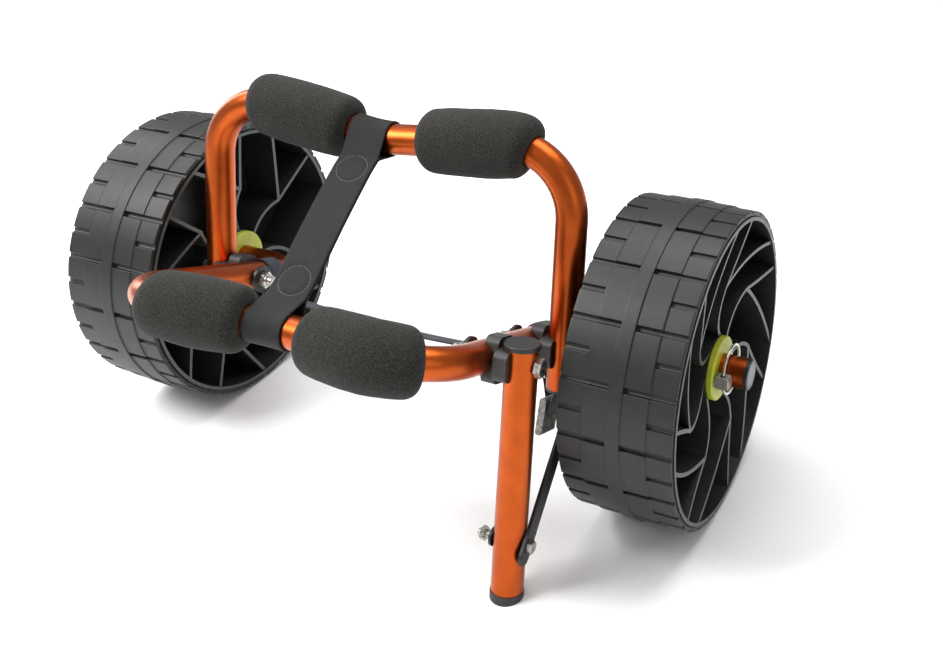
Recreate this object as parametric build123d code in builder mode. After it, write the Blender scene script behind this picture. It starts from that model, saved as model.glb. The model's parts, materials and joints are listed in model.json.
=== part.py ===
from build123d import *
import os
from math import atan2, cos, degrees, hypot, radians, sin, tan

# Folding two-bar hull cart. Millimetres, +Z up, floor at Z 0, X along the axle line,
# the bars and the stand in front of the axle on the -Y side.

# Tube
tube_radius = 12.5
tube_wall = 2.0
bar_bend_radius = 51.0
axle_bend_radius = 38.0
fit_gap = 0.06
rest_gap = 0.2

# Wheels
wheel_radius = 130.0
wheel_width = 92.0
wheel_side_gap = 11.5
rim_radius = 123.5
rim_wall = 3.0
spoke_count = 7
spoke_wall = 3.2
web_wall = 5.0
hub_radius = 26.0
hub_length = 67.0
rim_recess = 1.0
hub_recess = 13.2
slot_count = 18
slot_width = 4.6
slot_depth = 2.2
row_step = 1.0
rib_width = 11.0
row_width = 20.0

# Frames
axle_y = 50.02
lower_rise = 21.8
lower_half_width = 137.5
lower_bar_reach = 207.0
lower_bar_slope = 8.8
upper_lean = 9.6
upper_bar_reach = 143.0
upper_bar_slope = 6.5
upper_tail = 30.0
leg_gap = 4.0
bar_middle_radius = 130.0
axle_stub_reach = 59.5

# Pivots and stand
pivot_reach = 67.0
stand_reach = 141.0
stand_lean = 11.3
stand_top = 13.0
stand_bolt_height = 44.0
foot_height = 3.4
foot_lap = 1.2
foot_overhang = 0.5
crank = 20.0
bolt_radius = 4.0
bolt_head_across = 13.0
bolt_head_height = 5.0
nut_height = 6.5
thread_show = 5.0
washer_radius = 11.5
washer_thickness = 2.6
saddle_length = 23.0
saddle_height = 35.0
saddle_wing = 9.0
stay_width = 14.0
stay_thickness = 3.0
stay_tail = 15.0
stay_gap = 0.4
rivet_radius = 3.0
open_pivot_gap = 1.5
rivet_head_radius = 6.0

# Foam pads
pad_radius = 26.0
pad_gap = 0.15
pad_round = 7.0
strap_pad_gap = 4.0
lower_left_pad_wrap = 23.5
lower_right_pad_start = 36.5
lower_right_pad_wrap = 52.0
upper_left_pad_wrap = 14.5
upper_right_pad_start = 38.5
upper_right_pad_wrap = 24.0

# Link strap
strap_width = 34.0
strap_thickness = 1.8
strap_loop_play = 2.3
strap_join = 27.0
strap_skew = 9.0

# Tie webbing and buckle
tie_reach = 45.0
tie_width = 18.0
tie_thickness = 1.5
tie_dip = 6.0
tail_length = 28.0
buckle_length = 30.0
buckle_width = 25.0
buckle_thickness = 6.0

# Hub washers, end plugs and lock pins
disc_radius = 26.0
disc_thickness = 5.5
plug_flange = 3.5
plug_depth = 10.0
cap_thickness = 2.6
cap_overhang = 1.2
lock_pin_radius = 3.0
lock_pin_setback = 14.0
lock_head_length = 12.0
lock_head_depth = 9.0
lock_head_height = 10.0
ring_play = 7.5
ring_wire = 1.2

# Derived places
axle_z = wheel_radius
upper_half_width = lower_half_width + 2 * tube_radius + leg_gap
gap_middle = lower_half_width + tube_radius + leg_gap / 2
outer_side = upper_half_width + tube_radius
inner_side = lower_half_width - tube_radius
wheel_middle = outer_side + wheel_side_gap + wheel_width / 2
axle_half_length = wheel_middle + axle_stub_reach
strap_loop_radius = tube_radius + strap_loop_play
ring_radius = tube_radius + ring_play
lower_left_pad_start = strap_width / 2 + strap_pad_gap
upper_left_pad_start = lower_left_pad_start + strap_skew
lower_way = Vector(0, -cos(radians(lower_rise)), sin(radians(lower_rise)))
lower_up = Vector(0, sin(radians(lower_rise)), cos(radians(lower_rise)))
upper_way = Vector(0, sin(radians(upper_lean)), cos(radians(upper_lean)))
stand_way = Vector(0, sin(radians(stand_lean)), cos(radians(stand_lean)))
across = Vector(1, 0, 0)
axle = Vector(0, axle_y, axle_z)
pivot = axle + lower_way * pivot_reach
stand_pivot = axle + lower_way * stand_reach
stand_bolt = stand_pivot - stand_way * ((stand_pivot.Z - stand_bolt_height) / stand_way.Z)
stand_foot = stand_pivot - stand_way * (stand_pivot.Z / stand_way.Z)
stay_rivet = pivot - upper_way * crank
lower_plane = Plane(origin=axle, x_dir=across, z_dir=across.cross(lower_way))
upper_plane = Plane(origin=pivot, x_dir=across, z_dir=across.cross(upper_way))


def side_plane(x, middle, along):
    """Plane across the X axis at x, centred on middle, with its own X along the given way."""
    return Plane(origin=(x, middle.Y, middle.Z), x_dir=along, z_dir=across)


def lower_line():
    """Centre line of the lower frame: stub axle, leg, shallow V bar, leg, stub axle."""
    corner = lower_bar_reach + lower_half_width * tan(radians(lower_bar_slope))
    with BuildLine(lower_plane) as line:
        FilletPolyline(
            (-axle_half_length, 0),
            (-lower_half_width, 0),
            (-lower_half_width, corner),
            (0, lower_bar_reach),
            (lower_half_width, corner),
            (lower_half_width, 0),
            (axle_half_length, 0),
            radius=[
                axle_bend_radius,
                bar_bend_radius,
                bar_middle_radius,
                bar_bend_radius,
                axle_bend_radius,
            ],
        )
    return line.wires()[0]


def upper_line():
    """Centre line of the upper frame: leg, shallow V bar, leg."""
    corner = upper_bar_reach + upper_half_width * tan(radians(upper_bar_slope))
    with BuildLine(upper_plane) as line:
        FilletPolyline(
            (-upper_half_width, -upper_tail),
            (-upper_half_width, corner),
            (0, upper_bar_reach),
            (upper_half_width, corner),
            (upper_half_width, -upper_tail),
            radius=[bar_bend_radius, bar_middle_radius, bar_bend_radius],
        )
    return line.wires()[0]


def pad_line(plane, reach, slope, half_width, start, wrap):
    """Centre line of a foam pad: along half of the bar and wrap degrees round its bend."""
    rise = tan(radians(slope))
    corner = Vector(half_width, reach + half_width * rise)
    way = Vector(cos(radians(slope)), sin(radians(slope)))
    bend_start = corner - way * (bar_bend_radius * tan(radians((90 + slope) / 2)))
    with BuildLine(plane) as line:
        straight = Line((start, reach + start * rise), (bend_start.X, bend_start.Y))
        JernArc(straight @ 1, straight % 1, radius=bar_bend_radius, arc_size=-wrap)
    return line.wires()[0]


def cross_hole(middle, radius, low, high):
    """Drill through the current part along X, from low to high."""
    with BuildSketch(Plane.YZ.offset(low)) as drill:
        with Locations((middle.Y, middle.Z)):
            Circle(radius)
    extrude(drill.sketch, amount=high - low, mode=Mode.SUBTRACT)


def tube_along(line):
    """Hollow round tube along a centre line."""
    with BuildSketch(Plane(origin=line @ 0, z_dir=line % 0)) as section:
        Circle(tube_radius)
        Circle(tube_radius - tube_wall, mode=Mode.SUBTRACT)
    sweep(section.sketch, path=line)


def keep(builder, name):
    """Label a finished piece and write it."""
    builder.part.label = name
    export_step(builder.part, f"parts/{name}.step")


os.makedirs("parts", exist_ok=True)

# Lower frame: one bent tube whose ends are the stub axles
lock_x = axle_half_length - lock_pin_setback
with BuildPart() as lower_tube:
    tube_along(lower_line())
    for side in (-1, 1):
        inner, outer = sorted((side * (inner_side - 1), side * (gap_middle + 1)))
        cross_hole(pivot, bolt_radius + fit_gap, inner, outer)
    cross_hole(stand_pivot, bolt_radius + fit_gap, inner_side - 1, gap_middle + 1)
    with BuildSketch(Plane.XZ.offset(-axle_y - tube_radius - 1)):
        with Locations((lock_x, axle_z), (-lock_x, axle_z)):
            Circle(lock_pin_radius + fit_gap)
    extrude(amount=2 * tube_radius + 2, mode=Mode.SUBTRACT)
keep(lower_tube, "lower_frame_tube")

# Upper frame: one bent tube with open lower ends
with BuildPart() as upper_tube:
    tube_along(upper_line())
    for side in (-1, 1):
        inner, outer = sorted((side * (gap_middle - 1), side * (outer_side + 1)))
        cross_hole(pivot, bolt_radius + fit_gap, inner, outer)
    cross_hole(stay_rivet, rivet_radius, gap_middle - 1, outer_side + 1)
keep(upper_tube, "upper_frame_tube")

# Foam pads, pushed on to the bars, each at its own place
lower_bar = (lower_plane, lower_bar_reach, lower_bar_slope, lower_half_width)
upper_bar = (upper_plane, upper_bar_reach, upper_bar_slope, upper_half_width)
pads = (
    ("lower_pad_left", -1, lower_bar, lower_left_pad_start, lower_left_pad_wrap),
    ("lower_pad_right", 1, lower_bar, lower_right_pad_start, lower_right_pad_wrap),
    ("upper_pad_left", -1, upper_bar, upper_left_pad_start, upper_left_pad_wrap),
    ("upper_pad_right", 1, upper_bar, upper_right_pad_start, upper_right_pad_wrap),
)
for pad_name, side, pad_bar, pad_start, pad_wrap in pads:
    pad_path = pad_line(*pad_bar, pad_start, pad_wrap)
    with BuildPart() as pad:
        with BuildSketch(Plane(origin=pad_path @ 0, z_dir=pad_path % 0)):
            Circle(pad_radius)
            Circle(tube_radius + pad_gap, mode=Mode.SUBTRACT)
        sweep(path=pad_path)
        pad_ends = (pad_path @ 0, pad_path @ 1)
        pad_rims = pad.edges().filter_by(GeomType.CIRCLE)
        pad_rims = pad_rims.filter_by(lambda edge: abs(edge.radius - pad_radius) < 0.01)
        pad_rims = pad_rims.filter_by(
            lambda edge: min((edge.arc_center - end).length for end in pad_ends) < 0.01
        )
        fillet(pad_rims, radius=pad_round)
        if side < 0:
            mirror(about=Plane.YZ, mode=Mode.REPLACE)
    keep(pad, pad_name)


def half_saddle(middle, along, tube_x, sense):
    """Saddle half: cups a tube on one side and is flat where it meets its partner."""
    flat = gap_middle - rest_gap / 2 if sense > 0 else gap_middle + rest_gap / 2
    start = tube_x + sense * (tube_radius - saddle_wing)
    with BuildSketch(side_plane(start, middle, along)) as block:
        RectangleRounded(saddle_length, saddle_height, 6)
    extrude(block.sketch, amount=flat - start)
    foot = Vector(tube_x, middle.Y, middle.Z) - along * saddle_length
    with BuildSketch(Plane(origin=foot, x_dir=across, z_dir=along)) as cup:
        Circle(tube_radius + fit_gap)
    extrude(cup.sketch, amount=2 * saddle_length, mode=Mode.SUBTRACT)
    cross_hole(middle, bolt_radius + fit_gap, inner_side, outer_side)


# Spacer saddles at the two frame pivots and at the stand
with BuildPart() as lower_saddles:
    half_saddle(pivot, lower_way, lower_half_width, 1)
    mirror(about=Plane.YZ)
keep(lower_saddles, "lower_pivot_saddles")
with BuildPart() as upper_saddles:
    half_saddle(pivot, upper_way, upper_half_width, -1)
    mirror(about=Plane.YZ)
keep(upper_saddles, "upper_pivot_saddles")
with BuildPart() as stand_saddle_inner:
    half_saddle(stand_pivot, lower_way, lower_half_width, 1)
keep(stand_saddle_inner, "stand_saddle_inner")
with BuildPart() as stand_saddle_outer:
    half_saddle(stand_pivot, stand_way, upper_half_width, -1)
keep(stand_saddle_outer, "stand_saddle_outer")


def bolt(middle, head_face, tip, radius, across_flats, head_height):
    """Hex bolt along X: the head starts at head_face and the shank ends at tip."""
    away = 1 if head_face > tip else -1
    with BuildSketch(Plane.YZ.offset(head_face)) as head:
        with Locations((middle.Y, middle.Z)):
            RegularPolygon(across_flats / 2, 6, major_radius=False)
    extrude(head.sketch, amount=away * head_height)
    crown = faces().sort_by(Axis.X)[-1 if away > 0 else 0]
    chamfer(crown.edges(), length=0.8)
    with BuildSketch(Plane.YZ.offset(head_face)) as shank:
        with Locations((middle.Y, middle.Z)):
            Circle(radius)
    extrude(shank.sketch, amount=tip - head_face)
    end = faces().sort_by(Axis.X)[0 if away > 0 else -1]
    chamfer(end.edges(), length=0.7)


def nut(middle, face, height, radius, across_flats):
    """Hex nut along X from face, with its collar at the far end."""
    away = 1 if height > 0 else -1
    with BuildSketch(Plane.YZ.offset(face)) as flats:
        with Locations((middle.Y, middle.Z)):
            RegularPolygon(across_flats / 2, 6, major_radius=False)
    extrude(flats.sketch, amount=0.72 * height)
    with BuildSketch(Plane.YZ.offset(face + 0.72 * height)) as ring:
        with Locations((middle.Y, middle.Z)):
            Circle(across_flats / 2 - 0.8)
    extrude(ring.sketch, amount=0.28 * height)
    collar = faces().sort_by(Axis.X)[-1 if away > 0 else 0]
    fillet(collar.edges(), radius=0.8)
    with BuildSketch(Plane.YZ.offset(face)) as thread:
        with Locations((middle.Y, middle.Z)):
            Circle(radius)
    extrude(thread.sketch, amount=height, mode=Mode.SUBTRACT)


def washer(middle, face, thickness, radius, bore):
    """Flat washer along X from face."""
    with BuildSketch(Plane.YZ.offset(face)) as disc:
        with Locations((middle.Y, middle.Z)):
            Circle(radius)
            Circle(bore, mode=Mode.SUBTRACT)
    extrude(disc.sketch, amount=thickness)


# Pivot bolts, washers and nuts of the frames
nut_face = inner_side - rest_gap - washer_thickness
bolt_tip = nut_face - nut_height - thread_show
with BuildPart() as pivot_bolts:
    bolt(pivot, outer_side + rest_gap, bolt_tip, bolt_radius, bolt_head_across, bolt_head_height)
    mirror(about=Plane.YZ)
keep(pivot_bolts, "pivot_bolts")
with BuildPart() as pivot_washers:
    washer(pivot, inner_side - rest_gap / 2, -washer_thickness, washer_radius, bolt_radius)
    mirror(about=Plane.YZ)
keep(pivot_washers, "pivot_washers")
with BuildPart() as pivot_nuts:
    nut(pivot, nut_face, -nut_height, bolt_radius, bolt_head_across)
    mirror(about=Plane.YZ)
keep(pivot_nuts, "pivot_nuts")

# Stand pivot
with BuildPart() as stand_bolt_part:
    bolt(
        stand_pivot, outer_side + rest_gap, bolt_tip, bolt_radius, bolt_head_across, bolt_head_height
    )
keep(stand_bolt_part, "stand_pivot_bolt")
with BuildPart() as stand_washer:
    washer(stand_pivot, inner_side - rest_gap / 2, -washer_thickness, washer_radius, bolt_radius)
keep(stand_washer, "stand_pivot_washer")
with BuildPart() as stand_nut:
    nut(stand_pivot, nut_face, -nut_height, bolt_radius, bolt_head_across)
keep(stand_nut, "stand_pivot_nut")

# Stand: straight tube, top cap and foot
stand_low = Vector(upper_half_width, stand_foot.Y, stand_foot.Z) + stand_way * foot_height
stand_high = Vector(upper_half_width, stand_pivot.Y, stand_pivot.Z) + stand_way * stand_top
stand_length = (stand_high - stand_low).length
stand_base = Plane(origin=stand_low, x_dir=across, z_dir=stand_way)
with BuildPart() as stand_tube:
    with BuildSketch(stand_base):
        Circle(tube_radius)
        Circle(tube_radius - tube_wall, mode=Mode.SUBTRACT)
    extrude(amount=stand_length)
    cross_hole(stand_pivot, bolt_radius + fit_gap, gap_middle - 1, outer_side + 1)
    cross_hole(stand_bolt, rivet_radius, gap_middle - 1, outer_side + 1)
keep(stand_tube, "stand_tube")
with BuildPart() as stand_cap:
    with BuildSketch(stand_base.offset(stand_length)):
        Circle(tube_radius + cap_overhang)
    extrude(amount=cap_thickness + 1)
    fillet(stand_cap.edges().sort_by(Axis.Z)[-1], radius=1.2)
    with BuildSketch(stand_base.offset(stand_length)):
        Circle(tube_radius - tube_wall - fit_gap)
    extrude(amount=-(stand_top - bolt_radius - 2))
keep(stand_cap, "stand_top_cap")
with BuildPart() as stand_shoe:
    with BuildSketch(stand_base.offset(foot_lap)):
        Circle(tube_radius + foot_overhang)
    extrude(amount=-(foot_lap + 2 * foot_height + 2))
    with BuildSketch(stand_base):
        Circle(tube_radius + fit_gap)
        Circle(tube_radius - tube_wall - fit_gap, mode=Mode.SUBTRACT)
    extrude(amount=foot_lap, mode=Mode.SUBTRACT)
    split(bisect_by=Plane.XY, keep=Keep.TOP)
keep(stand_shoe, "stand_foot")

# Stay bar from the stand up to the tail of the upper leg
stay_run = stay_rivet - stand_bolt
stay_way = stay_run.normalized()
stay_face = outer_side + stay_gap
with BuildPart() as stay:
    with BuildSketch(side_plane(stay_face, stand_bolt, stay_way)):
        with Locations(((stay_run.length - stay_tail + stay_width / 2) / 2, 0)):
            SlotOverall(stay_run.length + stay_tail + stay_width / 2, stay_width)
        with Locations((stay_run.length, 0)):
            Circle(stay_width / 2 + 1)
            Circle(rivet_radius + open_pivot_gap, mode=Mode.SUBTRACT)
        Circle(rivet_radius + fit_gap, mode=Mode.SUBTRACT)
    extrude(amount=stay_thickness)
    stay_rims = stay.faces().filter_by(Axis.X).sort_by(Axis.X)[-1].outer_wire().edges()
    fillet(stay_rims, radius=0.8)
keep(stay, "stay_bar")

# Stay fasteners: a bolt at the stand and a rivet bolt at the upper leg
stay_outer = stay_face + stay_thickness + rest_gap
stand_inner = gap_middle + leg_gap / 2
with BuildPart() as stay_bolt:
    bolt(stand_bolt, stay_outer, stand_inner - 14, rivet_radius, 10.0, 3.6)
keep(stay_bolt, "stay_lower_bolt")
with BuildPart() as stay_washer:
    washer(stand_bolt, stand_inner - rest_gap / 2, -2.0, 7.5, rivet_radius)
keep(stay_washer, "stay_lower_washer")
with BuildPart() as stay_nut:
    nut(stand_bolt, stand_inner - 7.5, -5.0, rivet_radius, 10.0)
keep(stay_nut, "stay_lower_nut")
with BuildPart() as stay_pin:
    with BuildSketch(Plane.YZ.offset(gap_middle + 0.4)):
        with Locations((stay_rivet.Y, stay_rivet.Z)):
            Circle(rivet_head_radius)
    extrude(amount=leg_gap / 2 - 0.5)
    with BuildSketch(Plane.YZ.offset(gap_middle + 1)):
        with Locations((stay_rivet.Y, stay_rivet.Z)):
            Circle(rivet_radius)
    extrude(amount=stay_outer + 5.0 - gap_middle)
keep(stay_pin, "stay_upper_bolt")
with BuildPart() as stay_pin_nut:
    nut(stay_rivet, stay_outer, 5.0, rivet_radius, 10.0)
keep(stay_pin_nut, "stay_upper_nut")

# End plugs of the stub axles and caps of the upper legs
with BuildPart() as end_plugs:
    with BuildSketch(Plane.YZ.offset(axle_half_length)):
        with Locations((axle_y, axle_z)):
            Circle(tube_radius)
    extrude(amount=plug_flange)
    fillet(end_plugs.faces().sort_by(Axis.X)[-1].edges(), radius=1.0)
    with BuildSketch(Plane.YZ.offset(axle_half_length)):
        with Locations((axle_y, axle_z)):
            Circle(tube_radius - tube_wall - fit_gap)
    extrude(amount=-plug_depth)
    mirror(about=Plane.YZ)
keep(end_plugs, "axle_end_plugs")
tail_foot = Vector(upper_half_width, pivot.Y, pivot.Z) - upper_way * upper_tail
tail_plane = Plane(origin=tail_foot, x_dir=across, z_dir=-upper_way)
with BuildPart() as leg_caps:
    with BuildSketch(tail_plane):
        Circle(tube_radius)
    extrude(amount=cap_thickness)
    fillet(leg_caps.edges().sort_by(Axis.Z)[0], radius=0.9)
    with BuildSketch(tail_plane):
        Circle(tube_radius - tube_wall - fit_gap)
    extrude(amount=-(upper_tail - crank - rivet_radius - 2))
    mirror(about=Plane.YZ)
keep(leg_caps, "upper_leg_caps")

# Hub discs, two on each stub axle
disc_seat = hub_length / 2 + rest_gap
with BuildPart() as discs:
    for place in (wheel_middle + disc_seat, wheel_middle - disc_seat - disc_thickness):
        with BuildSketch(Plane.YZ.offset(place)):
            with Locations((axle_y, axle_z)):
                Circle(disc_radius)
                Circle(tube_radius + fit_gap, mode=Mode.SUBTRACT)
        extrude(amount=disc_thickness)
    disc_rims = discs.edges().filter_by(GeomType.CIRCLE)
    fillet(disc_rims.filter_by(lambda edge: edge.radius > disc_radius - 0.1), radius=1.2)
    mirror(about=Plane.YZ)
keep(discs, "hub_discs")

# Lock pins through the stub axles, each with a ring that swings over the stub's end
pin_head_y = axle_y - tube_radius - lock_head_depth / 2 - 1
ring_middle_y = pin_head_y + ring_radius
with BuildPart() as lock_pins:
    with BuildSketch(Plane.XZ.offset(-axle_y + tube_radius + 1)):
        with Locations((lock_x, axle_z)):
            RectangleRounded(lock_head_length, lock_head_height, 2)
    extrude(amount=lock_head_depth)
    fillet(lock_pins.faces().sort_by(Axis.Y)[0].edges(), radius=1.0)
    with BuildSketch(Plane.XZ.offset(-axle_y + tube_radius + 1)):
        with Locations((lock_x, axle_z)):
            Circle(lock_pin_radius)
    extrude(amount=-(2 * tube_radius + 5))
    chamfer(lock_pins.faces().sort_by(Axis.Y)[-1].edges(), length=0.8)
    with BuildSketch(Plane.XY.offset(axle_z - lock_head_height)):
        with Locations((lock_x, pin_head_y)):
            Circle(ring_wire + 0.9)
    extrude(amount=2 * lock_head_height, mode=Mode.SUBTRACT)
    mirror(about=Plane.YZ)
keep(lock_pins, "lock_pins")
for ring_name, side in (("left", -1), ("right", 1)):
    with BuildPart() as lock_ring:
        with BuildSketch(Plane.XY.offset(axle_z)):
            with Locations((side * lock_x, pin_head_y)):
                Circle(ring_wire)
        ring_axis = Axis((side * lock_x, ring_middle_y, axle_z), (1, 0, 0))
        revolve(axis=ring_axis, revolution_arc=360)
    keep(lock_ring, f"lock_ring_{ring_name}")


def wheel_plane(side, offset):
    """Plane across the stub axle, offset outwards from the middle of the wheel."""
    x = side * (wheel_middle + offset)
    return Plane(origin=(x, axle_y, axle_z), x_dir=(0, side, 0), z_dir=(side, 0, 0))


def polar(radius, angle):
    return (radius * cos(radians(angle)), radius * sin(radians(angle)))


def spokes(side, face, phase, hub_turn, knee_radius, knee_turn, fork_radius, fork_turn, spread):
    """Forked spokes of one face, dished from the rim down to the hub."""
    hub_end = polar(hub_radius - 2, phase + hub_turn)
    knee = polar(knee_radius, phase + knee_turn)
    fork = polar(fork_radius, phase + fork_turn)
    rim_reach = rim_radius - rim_wall / 2
    middle_reach = (fork_radius + rim_reach) / 2
    steep = polar(middle_reach - 2, phase + 0.35 * fork_turn)
    shallow = polar(middle_reach - 4, phase + fork_turn - 0.62 * (fork_turn + spread))
    with BuildSketch() as pattern:
        with BuildLine():
            Spline(hub_end, knee, fork)
            Spline(fork, steep, polar(rim_reach, phase))
            Spline(fork, shallow, polar(rim_reach, phase - spread))
        trace(line_width=spoke_wall)
    low, high = wheel_width / 2 - hub_recess, wheel_width / 2 - rim_recess
    with BuildPart() as arms:
        with BuildSketch(wheel_plane(side, 0)):
            with PolarLocations(0, spoke_count):
                add(pattern.sketch)
        extrude(amount=face * wheel_width / 2)
        dish_middle = (side * wheel_middle, axle_y, axle_z)
        dish_plane = Plane(origin=dish_middle, x_dir=(0, 0, 1), z_dir=(0, 1, 0))
        with BuildSketch(dish_plane):
            with BuildLine():
                way = face * side
                Polyline(
                    (hub_radius - 3, 0),
                    (rim_reach, 0),
                    (rim_reach, way * high),
                    (hub_radius - 3, way * low),
                    close=True,
                )
            make_face()
        revolve(axis=Axis(axle + across * side * wheel_middle, (1, 0, 0)), mode=Mode.INTERSECT)
    return arms.part


def wheel_hub(side):
    """Moulded wheel body: rim barrel, middle web, hub and two faces of forked spokes."""
    half = wheel_width / 2
    outer_face = spokes(side, 1, 69, -7, 60, 24, 72, 19, 36)
    inner_face = spokes(side, -1, 180 - 64.5 + 30.5, 7, 50, -4, 68, 2, 30.5)
    with BuildPart() as hub:
        with BuildSketch(wheel_plane(side, -half)):
            Circle(rim_radius)
            Circle(rim_radius - rim_wall, mode=Mode.SUBTRACT)
        extrude(amount=wheel_width)
        with BuildSketch(wheel_plane(side, -web_wall / 2)):
            Circle(rim_radius - rim_wall / 2)
        extrude(amount=web_wall)
        with BuildSketch(wheel_plane(side, -hub_length / 2)):
            Circle(hub_radius)
        extrude(amount=hub_length)
        add(outer_face)
        add(inner_face)
        with BuildSketch(wheel_plane(side, -hub_length / 2)):
            Circle(tube_radius + fit_gap)
        extrude(amount=hub_length, mode=Mode.SUBTRACT)
    return hub


def tread(side):
    """Rubber tread: centre rib, two stepped rows each side, and slots across the rows."""
    half = wheel_width / 2
    floor_radius = wheel_radius - 2 * row_step - slot_depth
    steps = (
        (half - rim_recess, wheel_radius - 2 * row_step),
        (rib_width / 2 + row_width, wheel_radius - row_step),
        (rib_width / 2, wheel_radius),
    )
    with BuildPart() as band:
        for reach, radius in steps:
            with BuildSketch(wheel_plane(side, -reach)):
                Circle(radius)
            extrude(amount=2 * reach)
        with BuildSketch(wheel_plane(side, -half)):
            Circle(rim_radius)
        extrude(amount=wheel_width, mode=Mode.SUBTRACT)
        block = wheel_radius - floor_radius + 1
        middle = floor_radius + block / 2
        turn = 180 / slot_count
        for start, first in ((rib_width / 2, 0), (rib_width / 2 + row_width, turn)):
            for end in (start, -half - 1):
                length = half + 1 - start
                with BuildSketch(wheel_plane(side, end)):
                    with PolarLocations(middle, slot_count, start_angle=first):
                        Rectangle(block, slot_width)
                extrude(amount=length, mode=Mode.SUBTRACT)
    return band


for wheel_name, side in (("left", -1), ("right", 1)):
    keep(wheel_hub(side), f"wheel_hub_{wheel_name}")
    keep(tread(side), f"wheel_tread_{wheel_name}")

# Link strap: a webbing band stitched into a loop round each bar
bar_low = axle + lower_way * (lower_bar_reach + 1.8)
bar_high = pivot + upper_way * (upper_bar_reach + 2.0) - across * strap_skew
strap_run = bar_low - bar_high
strap_side = strap_run.cross(across.cross(strap_run)).normalized()
strap_plane = Plane(origin=bar_high, x_dir=strap_run.normalized(), z_dir=strap_side)
with BuildPart() as strap:
    with BuildSketch(strap_plane):
        run = strap_run.length
        for place, way in ((0, 1), (run, -1)):
            with BuildSketch(mode=Mode.PRIVATE) as outside:
                with Locations((place, 0)):
                    Circle(strap_loop_radius + strap_thickness)
                with Locations((place + way * strap_join, 0)):
                    Circle(strap_thickness)
                make_hull()
            with BuildSketch(mode=Mode.PRIVATE) as inside:
                with Locations((place, 0)):
                    Circle(strap_loop_radius)
                with Locations((place + way * (strap_join - 3), 0)):
                    Circle(0.2)
                make_hull()
            add(outside.sketch)
            add(inside.sketch, mode=Mode.SUBTRACT)
        with Locations((run / 2, 0)):
            Rectangle(run - 2 * strap_join, 2 * strap_thickness)
    extrude(amount=strap_width / 2, both=True)
keep(strap, "link_strap")

# Tie webbing: one band looped round both lower legs behind the pivots
tie_plane = Plane(origin=axle + lower_way * tie_reach, x_dir=across, z_dir=lower_way)
wrap_radius = tube_radius + 0.3 + tie_thickness / 2
dip = radians(tie_dip)
sag_radius = (lower_half_width + wrap_radius * sin(dip)) / sin(dip)
sag_height = (sag_radius - wrap_radius) * cos(dip)
with BuildPart() as tie:
    with BuildSketch(tie_plane):
        with BuildLine():
            CenterArc((0, sag_height), sag_radius, -90 - tie_dip, 2 * tie_dip)
            CenterArc((lower_half_width, 0), wrap_radius, -90 + tie_dip, 275 - tie_dip)
            CenterArc((-lower_half_width, 0), wrap_radius, -90 - tie_dip, -275 + tie_dip)
        trace(line_width=tie_thickness)
    extrude(amount=tie_width / 2, both=True)
keep(tie, "tie_webbing")

# Webbing tail and its cam buckle, hanging from the band at the right leg
tail_top = Vector(lower_half_width + 2.5, -wrap_radius - tie_thickness / 2 - 0.35)
tail_end = Vector(gap_middle - 1, tail_top.Y - tail_length)
with BuildPart() as tail:
    with BuildSketch(tie_plane):
        with BuildLine():
            Line((tail_top.X, tail_top.Y), (tail_end.X, tail_end.Y))
        trace(line_width=tie_thickness)
    extrude(amount=tie_width / 2, both=True)
keep(tail, "buckle_webbing")
with BuildPart() as buckle:
    buckle_middle = tail_end.Y - buckle_length / 2 - 0.9
    with BuildSketch(tie_plane):
        with Locations((tail_end.X, buckle_middle)):
            RectangleRounded(buckle_thickness, buckle_length, 2.4)
    extrude(amount=buckle_width / 2, both=True)
    with BuildSketch(tie_plane):
        with Locations((tail_end.X, buckle_middle - 7)):
            RectangleRounded(2.6, 8, 1.2)
    extrude(amount=(tie_width + 1) / 2, both=True, mode=Mode.SUBTRACT)
keep(buckle, "cam_buckle")
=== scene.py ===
"""Folding beach cart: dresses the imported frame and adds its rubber, foam and webbing."""

from __future__ import annotations

import json
import logging
import math
from collections.abc import Callable, Sequence
from dataclasses import dataclass, field
from enum import Enum

import bpy
from mathutils import Matrix, Vector, noise


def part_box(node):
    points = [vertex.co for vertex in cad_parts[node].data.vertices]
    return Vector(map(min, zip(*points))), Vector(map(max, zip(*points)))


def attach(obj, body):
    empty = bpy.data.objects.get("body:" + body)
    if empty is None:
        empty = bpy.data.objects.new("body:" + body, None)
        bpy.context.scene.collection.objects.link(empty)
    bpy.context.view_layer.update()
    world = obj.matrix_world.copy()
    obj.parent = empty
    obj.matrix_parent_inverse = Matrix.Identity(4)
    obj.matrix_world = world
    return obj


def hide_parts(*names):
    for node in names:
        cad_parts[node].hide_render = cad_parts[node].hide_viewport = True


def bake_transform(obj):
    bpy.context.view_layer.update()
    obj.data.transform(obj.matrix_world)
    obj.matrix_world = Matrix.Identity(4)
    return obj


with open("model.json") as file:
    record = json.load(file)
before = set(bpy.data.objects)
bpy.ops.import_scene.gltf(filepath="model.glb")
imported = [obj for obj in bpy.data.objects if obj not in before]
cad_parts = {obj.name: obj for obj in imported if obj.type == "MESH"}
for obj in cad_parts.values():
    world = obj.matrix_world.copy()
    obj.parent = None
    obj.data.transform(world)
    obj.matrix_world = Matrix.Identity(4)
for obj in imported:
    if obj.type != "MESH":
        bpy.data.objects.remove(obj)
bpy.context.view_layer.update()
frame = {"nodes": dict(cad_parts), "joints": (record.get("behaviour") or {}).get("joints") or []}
LOG = logging.getLogger("beach_cart")
MM = 0.001


class Side(Enum):
    """The two sides of the cart, by the sign of X."""

    LEFT = -1
    RIGHT = 1


class Bar(Enum):
    """The two padded bars that carry the hull."""

    LOWER = "lower"
    UPPER = "upper"


# ---------------------------------------------------------------- colours and nodes

FALLOFF = 0.6  # how much of each finer octave a noise keeps
LOW, HIGH = 0.3, 0.7  # the range that most of a noise lies in
SPREAD = {"From Min": LOW, "From Max": HIGH}


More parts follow.
